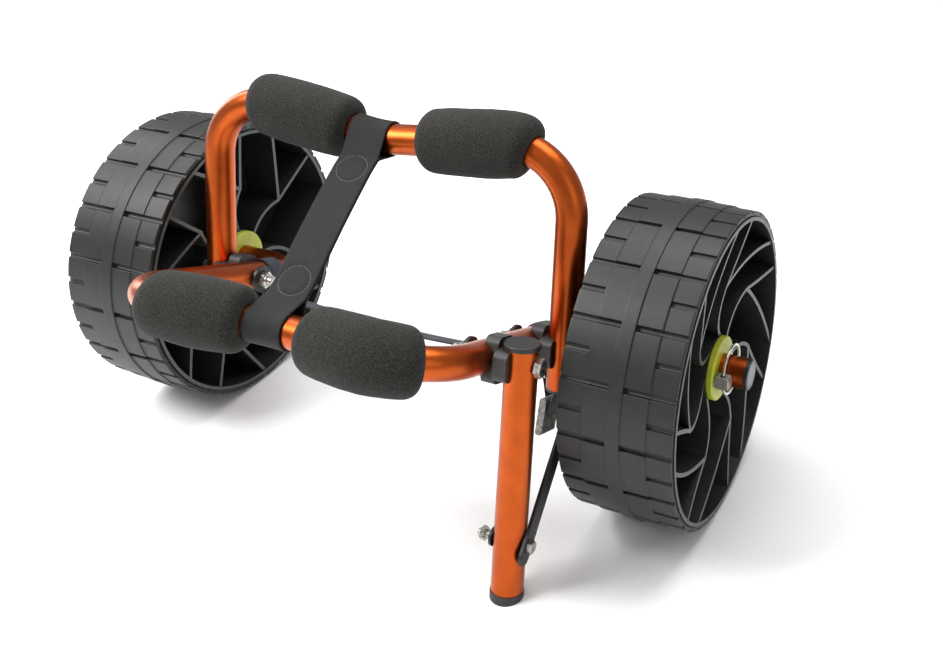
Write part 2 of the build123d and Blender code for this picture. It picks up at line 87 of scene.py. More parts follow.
def linear(hex_colour: str) -> tuple[float, float, float, float]:
    """Turn an sRGB hex colour to linear light.

    Args:
        hex_colour: a colour such as "#C8431A".

    Returns:
        Red, green, blue and alpha, linear.
    """
    parts = [int(hex_colour[place : place + 2], 16) / 255 for place in (1, 3, 5)]
    light = [v / 12.92 if v <= 0.04045 else ((v + 0.055) / 1.055) ** 2.4 for v in parts]
    return (light[0], light[1], light[2], 1.0)


def per_metre(size_mm: float) -> float:
    """Give the texture scale that makes one grain this wide."""
    return 1 / (size_mm * MM)


def feed(node: bpy.types.Node, links: dict[str | int, bpy.types.NodeSocket | bpy.types.Node]) -> None:
    """Link a node's inputs.

    Args:
        node: the node that is fed.
        links: what feeds each input, by input name or index: a socket, or a node's first output.
    """
    for place, source in links.items():
        socket = source.outputs[0] if isinstance(source, bpy.types.Node) else source
        node.id_data.links.new(socket, node.inputs[place])


def add_node(
    tree: bpy.types.NodeTree,
    kind: str,
    settings: dict[str | int, object] | None = None,
    links: dict[str | int, bpy.types.NodeSocket | bpy.types.Node] | None = None,
) -> bpy.types.Node:
    """Add one node with its settings and its incoming links.

    Args:
        tree: the material's node tree.
        kind: the node type's suffix, such as "TexNoise".
        settings: input values or properties by name, or "stops", a ramp's places and hex colours.
        links: what feeds the node's inputs, as feed takes them.

    Returns:
        The new node.
    """
    node = tree.nodes.new("ShaderNode" + kind)
    for name, value in (settings or {}).items():
        if name == "stops":
            for stop, (place, colour) in zip(node.color_ramp.elements, value):
                stop.position = place
                stop.color = linear(colour)
        elif isinstance(name, int) or name in node.inputs:
            node.inputs[name].default_value = value
        else:
            setattr(node, name, value)
    feed(node, links or {})
    return node


@dataclass(frozen=True)
class Finish:
    """A surface: its name, colour and shader-wide numbers, and a pattern added by subclasses."""

    name: str
    colour: str
    roughness: float = 0.5
    metallic: float = 0.0
    specular: float = 0.5
    coat: float = 0.0
    coat_roughness: float = 0.2
    sheen: float = 0.0
    sheen_roughness: float = 0.5

    def material(self) -> bpy.types.Material:
        """Build the material once and return it.

        Returns:
            The Blender material of this finish.
        """
        ready = bpy.data.materials.get(self.name)
        if ready:
            return ready
        made = bpy.data.materials.new(self.name)
        made.use_nodes = True
        made.diffuse_color = linear(self.colour)
        shader = made.node_tree.nodes["Principled BSDF"]
        sockets = {
            "Base Color": linear(self.colour),
            "Roughness": self.roughness,
            "Metallic": self.metallic,
            "Specular IOR Level": self.specular,
            "Coat Weight": self.coat,
            "Coat Roughness": self.coat_roughness,
            "Sheen Weight": self.sheen,
            "Sheen Roughness": self.sheen_roughness,
        }
        for name, value in sockets.items():
            shader.inputs[name].default_value = value
        self.pattern(made.node_tree, shader)
        return made

    def pattern(self, tree: bpy.types.NodeTree, shader: bpy.types.Node) -> None:
        """Add the surface's detail; the plain finish has none."""


# ---------------------------------------------------------------- finishes


@dataclass(frozen=True)
class AnodisedAluminium(Finish):
    """Drawn tube, bead blasted and dyed: satin metal under a thin clear oxide skin."""

    def pattern(self, tree: bpy.types.NodeTree, shader: bpy.types.Node) -> None:
        """Lay the blasted tooth and the dye; the 0.4 mm tooth is drawn at 0.9 mm so that it shows.

        Args:
            tree: the material's node tree.
            shader: its principled shader.
        """
        where = add_node(tree, "TexCoord").outputs["Object"]
        tooth_grain = {"Scale": per_metre(0.9), "Detail": 4, "Roughness": FALLOFF}
        tooth = add_node(tree, "TexNoise", tooth_grain, {"Vector": where})
        dye_grain = {"Scale": per_metre(26), "Detail": 2, "Roughness": FALLOFF}
        dye = add_node(tree, "TexNoise", dye_grain, {"Vector": where})
        tones = add_node(tree, "ValToRGB", {"stops": ((LOW, "#A9460D"), (HIGH, "#B95211"))}, {0: dye})
        satin = {**SPREAD, "To Min": self.roughness - 0.05, "To Max": self.roughness + 0.07}
        shine = add_node(tree, "MapRange", satin, {"Value": tooth})
        bump = add_node(tree, "Bump", {"Strength": 0.35, "Distance": 0.02 * MM}, {"Height": tooth})
        feed(shader, {"Base Color": tones, "Roughness": shine, "Normal": bump})


@dataclass(frozen=True)
class CellFoam(Finish):
    """Extruded closed-cell foam sleeve: dull, with a skin of fine open cells."""

    def pattern(self, tree: bpy.types.NodeTree, shader: bpy.types.Node) -> None:
        """Lay the cells, which are 0.6 mm on the real foam and drawn at 1 mm so that they show.

        Args:
            tree: the material's node tree.
            shader: its principled shader.
        """
        where = add_node(tree, "TexCoord").outputs["Object"]
        cells = add_node(tree, "TexVoronoi", {"Scale": per_metre(1.0), "Randomness": 1.0}, {"Vector": where})
        speckle_grain = {"Scale": per_metre(1.2), "Detail": 4, "Roughness": FALLOFF}
        speckle = add_node(tree, "TexNoise", speckle_grain, {"Vector": where})
        both = add_node(tree, "Math", {"operation": "MULTIPLY"}, {0: cells, 1: speckle})
        tones = add_node(tree, "ValToRGB", {"stops": ((0.07, "#090908"), (0.36, "#302F2C"))}, {0: both})
        bump = add_node(tree, "Bump", {"Strength": 0.9, "Distance": 0.7 * MM}, {"Height": both})
        feed(shader, {"Base Color": tones, "Normal": bump})


@dataclass(frozen=True)
class MouldedRubber(Finish):
    """Tread rubber out of a steel mould: even dark grey with a satin shine on each block."""

    def pattern(self, tree: bpy.types.NodeTree, shader: bpy.types.Node) -> None:
        """Lay the mould's turning marks, 6 mm wide round the wheel, and dust in 12 mm clouds.

        Args:
            tree: the material's node tree.
            shader: its principled shader.
        """
        where = add_node(tree, "TexCoord").outputs["Object"]
        drawn = add_node(tree, "Mapping", {"Scale": Vector((14, 1, 1))}, {"Vector": where})
        turned_grain = {"Scale": per_metre(6), "Detail": 3, "Roughness": FALLOFF}
        turned = add_node(tree, "TexNoise", turned_grain, {"Vector": drawn})
        dust_grain = {"Scale": per_metre(12), "Detail": 3, "Roughness": FALLOFF}
        dust = add_node(tree, "TexNoise", dust_grain, {"Vector": where})
        tones = add_node(tree, "ValToRGB", {"stops": ((LOW, "#131412"), (HIGH, "#1C1D1B"))}, {0: dust})
        satin = {**SPREAD, "To Min": self.roughness - 0.05, "To Max": self.roughness + 0.08}
        shine = add_node(tree, "MapRange", satin, {"Value": turned})
        bump = add_node(tree, "Bump", {"Strength": 0.4, "Distance": 0.05 * MM}, {"Height": turned})
        feed(shader, {"Base Color": tones, "Roughness": shine, "Normal": bump})


@dataclass(frozen=True)
class MouldedWheel(Finish):
    """Glass-filled nylon moulding: near-black walls, and paler end faces on rim and spokes, part wear and
    part painted highlight.
    """

    # edge: the end faces' paler colour, part wear and part painted highlight.
    edge: str = "#4C504E"
    middle_mm: float = 236.5
    clear_mm: float = 24.0

    def pattern(self, tree: bpy.types.NodeTree, shader: bpy.types.Node) -> None:
        """Paint the end faces paler, part wear and part painted highlight: those that look along the axle and
        lie clear of the middle web.

        Args:
            tree: the material's node tree.
            shader: its principled shader.
        """
        coords = add_node(tree, "TexCoord")
        across = add_node(tree, "SeparateXYZ", None, {0: coords.outputs["Object"]})
        looks = add_node(tree, "SeparateXYZ", None, {0: coords.outputs["Normal"]})
        out = add_node(tree, "Math", {"operation": "ABSOLUTE"}, {0: across})
        off = add_node(tree, "Math", {"operation": "SUBTRACT", 1: self.middle_mm * MM}, {0: out})
        far = add_node(tree, "Math", {"operation": "ABSOLUTE"}, {0: off})
        clear = add_node(tree, "Math", {"operation": "GREATER_THAN", 1: self.clear_mm * MM}, {0: far})
        facing = add_node(tree, "Math", {"operation": "ABSOLUTE"}, {0: looks})
        square = add_node(tree, "Math", {"operation": "GREATER_THAN", 1: 0.6}, {0: facing})
        # The end faces that look along the axle get the paler colour: part wear, part painted highlight.
        ends = add_node(tree, "Math", {"operation": "MULTIPLY"}, {0: clear, 1: square})
        scuff_grain = {"Scale": per_metre(4), "Detail": 4, "Roughness": FALLOFF}
        scuff = add_node(tree, "TexNoise", scuff_grain, {"Vector": coords.outputs["Object"]})
        walls = add_node(tree, "ValToRGB", {"stops": ((0, "#1A1D1C"), (1, self.colour))}, {0: scuff})
        # Paler end-face tones: part wear, part painted highlight.
        wear_and_highlight_tones = add_node(tree, "ValToRGB", {"stops": ((0, "#363A38"), (1, self.edge))}, {0: scuff})
        mix = add_node(tree, "Mix", {"data_type": "RGBA"}, {0: ends, 6: walls, 7: wear_and_highlight_tones})
        satin = {**SPREAD, "To Min": self.roughness - 0.06, "To Max": self.roughness + 0.08}
        shine = add_node(tree, "MapRange", satin, {"Value": scuff})
        spark_grain = {"Scale": per_metre(0.8), "Detail": 3, "Roughness": FALLOFF}
        spark = add_node(tree, "TexNoise", spark_grain, {"Vector": coords.outputs["Object"]})
        bump = add_node(tree, "Bump", {"Strength": 0.4, "Distance": 0.03 * MM}, {"Height": spark})
        feed(shader, {"Base Color": mix.outputs[2], "Roughness": shine, "Normal": bump})


@dataclass(frozen=True)
class TurnedDisc(Finish):
    """Yellow-green acetal washer, turned on a lathe: faint rings round the axle on its faces."""

    middle: tuple[float, float] = (0.05, 0.13)

    def pattern(self, tree: bpy.types.NodeTree, shader: bpy.types.Node) -> None:
        """Lay the tool marks, 0.5 mm apart on the real disc and drawn 1.2 mm apart so that they show.

        Args:
            tree: the material's node tree.
            shader: its principled shader.
        """
        where = add_node(tree, "TexCoord").outputs["Object"]
        shift = Vector((0, -self.middle[0], -self.middle[1]))
        moved = add_node(tree, "Mapping", {"Location": shift}, {"Vector": where})
        flatten = add_node(tree, "VectorMath", {"operation": "MULTIPLY", 1: (0, 1, 1)}, {0: moved})
        reach = add_node(tree, "VectorMath", {"operation": "LENGTH"}, {0: flatten}).outputs["Value"]
        turns = add_node(tree, "Math", {"operation": "MULTIPLY", 1: 2 * math.pi * per_metre(1.2)}, {0: reach})
        rings = add_node(tree, "Math", {"operation": "SINE"}, {0: turns})
        cloud_grain = {"Scale": per_metre(9), "Detail": 3, "Roughness": FALLOFF}
        cloud = add_node(tree, "TexNoise", cloud_grain, {"Vector": where})
        tones = add_node(tree, "ValToRGB", {"stops": ((LOW, "#A3AB22"), (HIGH, "#BAC03A"))}, {0: cloud})
        bump = add_node(tree, "Bump", {"Strength": 0.3, "Distance": 0.05 * MM}, {"Height": rings})
        feed(shader, {"Base Color": tones, "Normal": bump})


@dataclass(frozen=True)
class PlatedSteel(Finish):
    """Zinc-plated or stainless hardware: bright, with a cloudy satin from handling."""

    dull: str = "#A6A49E"

    def pattern(self, tree: bpy.types.NodeTree, shader: bpy.types.Node) -> None:
        """Lay 3 mm clouds that change the shine, and 0.5 mm scratches that break the highlights.

        Args:
            tree: the material's node tree.
            shader: its principled shader.
        """
        where = add_node(tree, "TexCoord").outputs["Object"]
        cloud_grain = {"Scale": per_metre(3), "Detail": 4, "Roughness": FALLOFF}
        cloud = add_node(tree, "TexNoise", cloud_grain, {"Vector": where})
        tones = add_node(tree, "ValToRGB", {"stops": ((LOW, self.dull), (HIGH, self.colour))}, {0: cloud})
        satin = {**SPREAD, "To Min": self.roughness - 0.08, "To Max": self.roughness + 0.12}
        shine = add_node(tree, "MapRange", satin, {"Value": cloud})
        drawn = add_node(tree, "Mapping", {"Scale": Vector((1, 4, 1))}, {"Vector": where})
        scratch_grain = {"Scale": per_metre(0.5), "Detail": 3, "Roughness": FALLOFF}
        scratch = add_node(tree, "TexNoise", scratch_grain, {"Vector": drawn})
        bump = add_node(tree, "Bump", {"Strength": 0.5, "Distance": 0.02 * MM}, {"Height": scratch})
        feed(shader, {"Base Color": tones, "Roughness": shine, "Normal": bump})


@dataclass(frozen=True)
class GrainedPlastic(Finish):
    """Injection-moulded plastic from a spark-eroded mould: dark with a fine leathery grain."""

    grain_mm: float = 0.8
    # The grain tips' paler colour is a painted highlight.
    tip: str = "#3C3C3B"

    def pattern(self, tree: bpy.types.NodeTree, shader: bpy.types.Node) -> None:
        """Lay the grain, with its tips painted paler as a painted highlight.

        Args:
            tree: the material's node tree.
            shader: its principled shader.
        """
        where = add_node(tree, "TexCoord").outputs["Object"]
        pit_grain = {"Scale": per_metre(self.grain_mm), "Detail": 3, "Roughness": FALLOFF}
        pits = add_node(tree, "TexNoise", pit_grain, {"Vector": where})
        # Painted highlight: the grain's tips turn paler.
        tones = add_node(tree, "ValToRGB", {"stops": ((0.35, self.colour), (0.75, self.tip))}, {0: pits})
        satin = {**SPREAD, "To Min": self.roughness - 0.05, "To Max": self.roughness + 0.1}
        shine = add_node(tree, "MapRange", satin, {"Value": pits})
        bump = add_node(tree, "Bump", {"Strength": 0.6, "Distance": 0.12 * MM}, {"Height": pits})
        feed(shader, {"Base Color": tones, "Roughness": shine, "Normal": bump})


@dataclass(frozen=True)
class PlugPlastic(Finish):
    """Moulded tube plug: black rim, and a paler disc in the middle of its end face, a painted highlight where
    the dished face catches the light.
    """

    middle: tuple[float, float] = (0.05, 0.13)
    # The dished middle's painted highlight: its colour, and the radii in mm where it fades to the rim.
    painted_dish_highlight: str = "#77787A"
    painted_dish_highlight_mm: tuple[float, float] = (9.6, 10.8)
    grain_mm: float = 0.7

    def pattern(self, tree: bpy.types.NodeTree, shader: bpy.types.Node) -> None:
        """Lay the painted highlight on the dished middle, 20 mm across with a soft edge, and the mould's
        grain.

        Args:
            tree: the material's node tree.
            shader: its principled shader.
        """
        where = add_node(tree, "TexCoord").outputs["Object"]
        shift = Vector((0, -self.middle[0], -self.middle[1]))
        moved = add_node(tree, "Mapping", {"Location": shift}, {"Vector": where})
        flatten = add_node(tree, "VectorMath", {"operation": "MULTIPLY", 1: (0, 1, 1)}, {0: moved})
        reach = add_node(tree, "VectorMath", {"operation": "LENGTH"}, {0: flatten}).outputs["Value"]
        # Painted highlight in the middle, fading to the black rim.
        stops = ((self.painted_dish_highlight_mm[0] * MM, self.painted_dish_highlight), (self.painted_dish_highlight_mm[1] * MM, self.colour))
        tones = add_node(tree, "ValToRGB", {"stops": stops}, {0: reach})
        pit_grain = {"Scale": per_metre(self.grain_mm), "Detail": 3, "Roughness": FALLOFF}
        pits = add_node(tree, "TexNoise", pit_grain, {"Vector": where})
        bump = add_node(tree, "Bump", {"Strength": 0.5, "Distance": 0.1 * MM}, {"Height": pits})
        feed(shader, {"Base Color": tones, "Normal": bump})


@dataclass(frozen=True)
class PaintedSteel(Finish):
    """Powder-coated flat bar: black with a slight orange peel."""

    def pattern(self, tree: bpy.types.NodeTree, shader: bpy.types.Node) -> None:
        """Lay the orange peel, about 1.5 mm from crest to crest.

        Args:
            tree: the material's node tree.
            shader: its principled shader.
        """
        where = add_node(tree, "TexCoord").outputs["Object"]
        peel_grain = {"Scale": per_metre(1.5), "Detail": 2, "Roughness": FALLOFF}
        peel = add_node(tree, "TexNoise", peel_grain, {"Vector": where})
        tones = add_node(tree, "ValToRGB", {"stops": ((LOW, self.colour), (HIGH, "#1C1C1C"))}, {0: peel})
        bump = add_node(tree, "Bump", {"Strength": 0.5, "Distance": 0.06 * MM}, {"Height": peel})
        feed(shader, {"Base Color": tones, "Normal": bump})


@dataclass(frozen=True)
class WovenWebbing(Finish):
    """Woven polyester band: ribs across it and a yarn twist along it, with a dull sheen."""

    rib_mm: float = 1.4
    yarn_mm: float = 1.1
    light: str = "#3A3A39"
    relief_mm: float = 0.25

    def pattern(self, tree: bpy.types.NodeTree, shader: bpy.types.Node) -> None:
        """Lay ribs and yarns by the band's own length and width, in metres, and fuzz in 7 mm clouds.

        Args:
            tree: the material's node tree.
            shader: its principled shader.
        """
        coords = add_node(tree, "TexCoord")
        split = add_node(tree, "SeparateXYZ", None, {0: coords.outputs["UV"]})
        waves = []
        for socket, pitch in ((split.outputs[0], self.rib_mm), (split.outputs[1], self.yarn_mm)):
            turn = 2 * math.pi * per_metre(pitch)
            scaled = add_node(tree, "Math", {"operation": "MULTIPLY", 1: turn}, {0: socket})
            waves.append(add_node(tree, "Math", {"operation": "SINE"}, {0: scaled}))
        weave = add_node(tree, "Math", {"operation": "MULTIPLY"}, {0: waves[0], 1: waves[1]})
        fuzz_grain = {"Scale": per_metre(7), "Detail": 4, "Roughness": FALLOFF}
        fuzz = add_node(tree, "TexNoise", fuzz_grain, {"Vector": coords.outputs["Object"]})
        mixed = add_node(tree, "Math", {"operation": "MULTIPLY_ADD", 1: 0.12}, {0: weave, 2: fuzz})
        tones = add_node(tree, "ValToRGB", {"stops": ((0.25, self.colour), (0.8, self.light))}, {0: mixed})
        bump = add_node(tree, "Bump", {"Strength": 0.7, "Distance": self.relief_mm * MM}, {"Height": weave})
        feed(shader, {"Base Color": tones, "Normal": bump})


@dataclass(frozen=True)
class SewingThread(Finish):
    """Bonded polyester thread: small twisted stitches a little brighter than the band, their paler spots
    painted highlights.
    """

    def pattern(self, tree: bpy.types.NodeTree, shader: bpy.types.Node) -> None:
        """Lay the twist, 0.6 mm long, its paler spots a painted highlight.

        Args:
            tree: the material's node tree.
            shader: its principled shader.
        """
        where = add_node(tree, "TexCoord").outputs["Object"]
        twist_grain = {"Scale": per_metre(0.6), "Detail": 2, "Roughness": FALLOFF}
        twist = add_node(tree, "TexNoise", twist_grain, {"Vector": where})
        # Painted highlight: paler spots along the twist.
        tones = add_node(tree, "ValToRGB", {"stops": ((LOW, self.colour), (HIGH, "#3B3B3A"))}, {0: twist})
        bump = add_node(tree, "Bump", {"Strength": 0.6, "Distance": 0.08 * MM}, {"Height": twist})
        feed(shader, {"Base Color": tones, "Normal": bump})


@dataclass(frozen=True)
class StudioPaper(Finish):
    """Seamless white paper under the cart."""

    def pattern(self, tree: bpy.types.NodeTree, shader: bpy.types.Node) -> None:
        """Lay a faint 2 mm tooth.

        Args:
            tree: the material's node tree.
            shader: its principled shader.
        """
        where = add_node(tree, "TexCoord").outputs["Object"]
        tooth_grain = {"Scale": per_metre(2), "Detail": 2, "Roughness": FALLOFF}
        tooth = add_node(tree, "TexNoise", tooth_grain, {"Vector": where})
        tones = add_node(tree, "ValToRGB", {"stops": ((LOW, self.colour), (HIGH, "#FFFFFF"))}, {0: tooth})
        feed(shader, {"Base Color": tones})


# Dyed oxide over blasted metal: broad soft highlights, deep orange between them.
TUBE = AnodisedAluminium("anodised_aluminium_tube", "#B14C0F", 0.33, 1.0, coat=0.25, coat_roughness=0.3)
# Open cells swallow light: near black with a fine pale speckle.
FOAM = CellFoam("closed_cell_foam_extruded", "#1E1E1D", 0.95, specular=0.2, sheen=0.05, sheen_roughness=0.6)
# A mould's satin: each block shows one soft highlight.
RUBBER = MouldedRubber("tread_rubber_moulded", "#171816", 0.46, specular=0.45)
# Filled nylon: dark walls, with grey end faces on rim and spokes that are part wear and part painted
# highlight.
WHEEL = MouldedWheel("nylon_wheel_moulded", "#282C2B", 0.4)
# Zinc on rolled steel: bright and slightly warm.
PLATED = PlatedSteel("zinc_plated_steel_rolled", "#D4D1CA", 0.28, 1.0)
# Drawn stainless wire: the brightest metal here, with sharp glints.
WIRE = PlatedSteel("stainless_wire_drawn", "#E0DDD6", 0.2, 1.0)
# Cast zinc, as it leaves the die: dull mid grey.
PIN_CAST = PlatedSteel("zinc_die_cast", "#8E8D88", 0.48, 0.85)
# Moulded nylon spacers: black, with grey painted glints on the grain's tips.
BLACK = GrainedPlastic("nylon_spacer_moulded", "#1A1A1A", 0.5)
# Softer plastic caps: blacker and a little glossier than the spacers, with dimmer painted glints on the
# grain's tips.
CAP = GrainedPlastic("polyethylene_cap_moulded", "#141414", 0.42, grain_mm=0.6, tip="#2A2A2A")
# Powder coat on the flat bar: plain black with a soft gloss.
BAR_PAINT = PaintedSteel("powder_coated_steel", "#0D0D0D", 0.4)
# Grey paint on a casting: half metal to the eye where it is worn.
BUCKLE = PlatedSteel("painted_die_cast_buckle", "#5A5C5E", 0.5, 0.3)
# Tight plain weave: almost smooth, black and matt.
STRAP = WovenWebbing("polyester_strap_woven", "#111111", 0.7, specular=0.3, light="#1D1D1C", relief_mm=0.12)
# Coarser weave: dark navy with ribs that show.
NAVY = WovenWebbing(
    "polyester_webbing_woven",
    "#131820",
    0.8,
    sheen=0.15,
    rib_mm=2.0,
    yarn_mm=2.0,
    light="#27313F",
    relief_mm=0.4,
)
# Teased yarn ends: paler and fuzzier than the band they come from.
FRAY = WovenWebbing(
    "polyester_webbing_frayed",
    "#4A5668",
    0.9,
    sheen=0.3,
    rib_mm=1.6,
    yarn_mm=1.2,
    light="#8893A3",
    relief_mm=0.4,
)
# Waxed thread: tiny painted glints along each seam.
THREAD = SewingThread("polyester_thread_bonded", "#0A0A0A", 0.45)
# Matt paper: bright, with no reflection.
PAPER = StudioPaper("studio_paper", "#FAFAFA", 0.9, specular=0.1)


# ---------------------------------------------------------------- mesh tools


def make_object(
    name: str,
    points: Sequence[Vector],
    faces: Sequence[Sequence[int]],
    finishes: Sequence[Finish],
    uv: Callable[[int], tuple[float, float]] | None = None,
    slots: Sequence[int] | None = None,
) -> bpy.types.Object:
    """Make a smooth mesh object from points and faces.

    Args:
        name: the object's name.
        points: its vertices in the row frame, in metres.
        faces: vertex numbers of each face.
        finishes: its materials in slot order.
        uv: gives each vertex its place on the flat band, in metres.
        slots: material slot of each face.

    Returns:
        The new object, linked to the scene.
    """
    mesh = bpy.data.meshes.new(name)
    mesh.from_pydata([tuple(point) for point in points], [], [tuple(face) for face in faces])
    for finish in finishes:
        mesh.materials.append(finish.material())
    for place, polygon in enumerate(mesh.polygons):
        polygon.use_smooth = True
        if slots is not None:
            polygon.material_index = slots[place]
    if uv is not None:
        layer = mesh.uv_layers.new(name="band")
        for loop in mesh.loops:
            layer.data[loop.index].uv = uv(loop.vertex_index)
    mesh.update()
    made = bpy.data.objects.new(name, mesh)
    bpy.context.scene.collection.objects.link(made)
    return made


def ring_faces(
    rows: int, columns: int, closed_rows: bool, closed_columns: bool, start: int = 0
) -> list[tuple[int, ...]]:
    """Quads of a grid of vertices numbered row by row.

    Args:
        rows: how many rows of vertices.
        columns: vertices in a row.
        closed_rows: the last row joins the first.
        closed_columns: the last column joins the first.
        start: number of the grid's first vertex.

    Returns:
        The faces.
    """
    faces = []
    for row in range(rows if closed_rows else rows - 1):
        here = start + row * columns
        below = start + (row + 1) % rows * columns
        for column in range(columns if closed_columns else columns - 1):
            beside = (column + 1) % columns
            faces.append((here + column, here + beside, below + beside, below + column))
    return faces


def soften(path: list[Vector], closed: bool, rounds: int = 2) -> list[Vector]:
    """Cut a path's corners until they are smooth.

    Args:
        path: the path's points.
        closed: whether the last point joins the first.
        rounds: how often each corner is cut.

    Returns:
        The smoother path.
    """
    for _ in range(rounds):
        cut = [] if closed else [path[0]]
        pairs = zip(path, path[1:] + path[:1]) if closed else zip(path, path[1:])
        for here, there in pairs:
            cut += [here.lerp(there, 0.25), here.lerp(there, 0.75)]
        path = cut if closed else cut + [path[-1]]
    return path


def even_path(path: list[Vector], closed: bool, spacing: float) -> list[Vector]:
    """Space a path's points evenly.

    Args:
        path: the path's points.
        closed: whether the last point joins the first.
        spacing: the distance wanted between points, in metres.

    Returns:
        The evenly spaced points.
    """
    ring = path + [path[0]] if closed else path
    lengths = [0.0]
    for here, there in zip(ring, ring[1:]):
        lengths.append(lengths[-1] + (there - here).length)
    count = max(3, round(lengths[-1] / spacing))
    steps = [lengths[-1] * k / count for k in range(count if closed else count + 1)]
    made, at = [], 0
    for step in steps:
        while at < len(lengths) - 2 and lengths[at + 1] < step:
            at += 1
        run = lengths[at + 1] - lengths[at]
        share = (step - lengths[at]) / run if run > 1e-12 else 0.0
        made.append(ring[at].lerp(ring[at + 1], share))
    return made


@dataclass
class Band:
    """A flat woven band that follows a path: rounded edges, its width along one direction."""

    width: float
    thickness: float
    wide: Vector
    steps: int = 10

    def section(self) -> list[tuple[float, float]]:
        """Give the outline of the band's cut end.

        Returns:
            Offsets across the width and the thickness.
        """
        edge, flat = self.thickness / 2, self.width / 2 - self.thickness / 2
        line = [(-flat + 2 * flat * k / self.steps, edge) for k in range(self.steps + 1)]
        line += [(flat + edge * 0.87, edge * 0.5), (flat + edge, 0), (flat + edge * 0.87, -edge * 0.5)]
        line += [(flat - 2 * flat * k / self.steps, -edge) for k in range(self.steps + 1)]
        line += [(-flat - edge * 0.87, -edge * 0.5), (-flat - edge, 0), (-flat - edge * 0.87, edge * 0.5)]
        return line

    def sweep(
        self, path: list[Vector], closed: bool
    ) -> tuple[list[Vector], list[tuple[int, ...]], list[tuple[float, float]]]:
        """Sweep the section along a path.

        Args:
            path: evenly spaced points of the band's middle.
            closed: whether the band joins itself.

        Returns:
            Vertices, faces, and each vertex's length and width on the flat band.
        """
        outline = self.section()
        points: list[Vector] = []
        flat: list[tuple[float, float]] = []
        run = 0.0
        for place, here in enumerate(path):
            before = path[place - 1] if closed or place else here
            after = path[(place + 1) % len(path)] if closed or place < len(path) - 1 else here
            up = (after - before).normalized().cross(self.wide).normalized()
            for across, lift in outline:
                points.append(here + self.wide * across + up * lift)
                flat.append((run, across + (0.5 if lift < 0 else 0.0)))
            run += (after - here).length
        faces = ring_faces(len(path), len(outline), closed, True)
        if not closed:
            last = (len(path) - 1) * len(outline)
            faces.append(tuple(range(len(outline))))
            faces.append(tuple(last + k for k in reversed(range(len(outline)))))
        return points, faces, flat


# ---------------------------------------------------------------- the cart's own places


@dataclass
class Layout:
    """Where the cart's axle, hinge and bars are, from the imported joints."""

    lower_rise: float = 21.8
    upper_lean: float = 9.6
    lower_reach: float = 207 * MM
    upper_reach: float = 143 * MM
    lower_slope: float = 8.8
    upper_slope: float = 6.5
    lower_half: float = 137.5 * MM
    upper_half: float = 166.5 * MM
    tube_radius: float = 12.5 * MM
    bend_radius: float = 51 * MM
    middle_radius: float = 130 * MM
    across: Vector = field(default_factory=lambda: Vector((1, 0, 0)))

    def joint(self, name: str) -> Vector:
        """Give a joint's place at rest."""
        found = next(joint for joint in frame["joints"] if joint["name"] == name)
        return Vector(found["pos_m"])

    @property
    def axle(self) -> Vector:
        """The middle of the axle line."""
        place = self.joint("right_wheel_spin")
        return Vector((0, place.y, place.z))

    @property
    def pivot(self) -> Vector:
        """The middle of the frame hinge line."""
        return self.joint("frame_fold")

    @property
    def lower_way(self) -> Vector:
        """The direction of the lower legs, from the axle."""
        turn = math.radians(self.lower_rise)
        return Vector((0, -math.cos(turn), math.sin(turn)))

    @property
    def lower_up(self) -> Vector:
        """The direction square to the lower frame."""
        turn = math.radians(self.lower_rise)
        return Vector((0, math.sin(turn), math.cos(turn)))

    @property
    def upper_way(self) -> Vector:
        """The direction of the upper legs, from the hinge."""
        turn = math.radians(self.upper_lean)
        return Vector((0, math.sin(turn), math.cos(turn)))

    def bar_line(self, bar: Bar) -> tuple[Vector, Vector, float, float, float]:
        """Give what a bar's shape follows from.

        Args:
            bar: which bar.

        Returns:
            The frame's origin, leg direction, reach, slope in degrees and half width.
        """
        if bar is Bar.LOWER:
            return self.axle, self.lower_way, self.lower_reach, self.lower_slope, self.lower_half
        return self.pivot, self.upper_way, self.upper_reach, self.upper_slope, self.upper_half

    def bar_middle(self, bar: Bar, x: float) -> Vector:
        """Give the middle of a bar's tube at a distance across from the cart's middle.

        Args:
            bar: which bar.
            x: the distance across, in metres.

        Returns:
            The place on the bar's centre line.
        """
        origin, way, reach, slope, _ = self.bar_line(bar)
        turn = math.radians(slope)
        if abs(x) < self.middle_radius * math.sin(turn):
            reach += self.middle_radius / math.cos(turn) - math.sqrt(self.middle_radius**2 - x * x)
        else:
            reach += abs(x) * math.tan(turn)
        return origin + self.across * x + way * reach


# ---------------------------------------------------------------- wheels


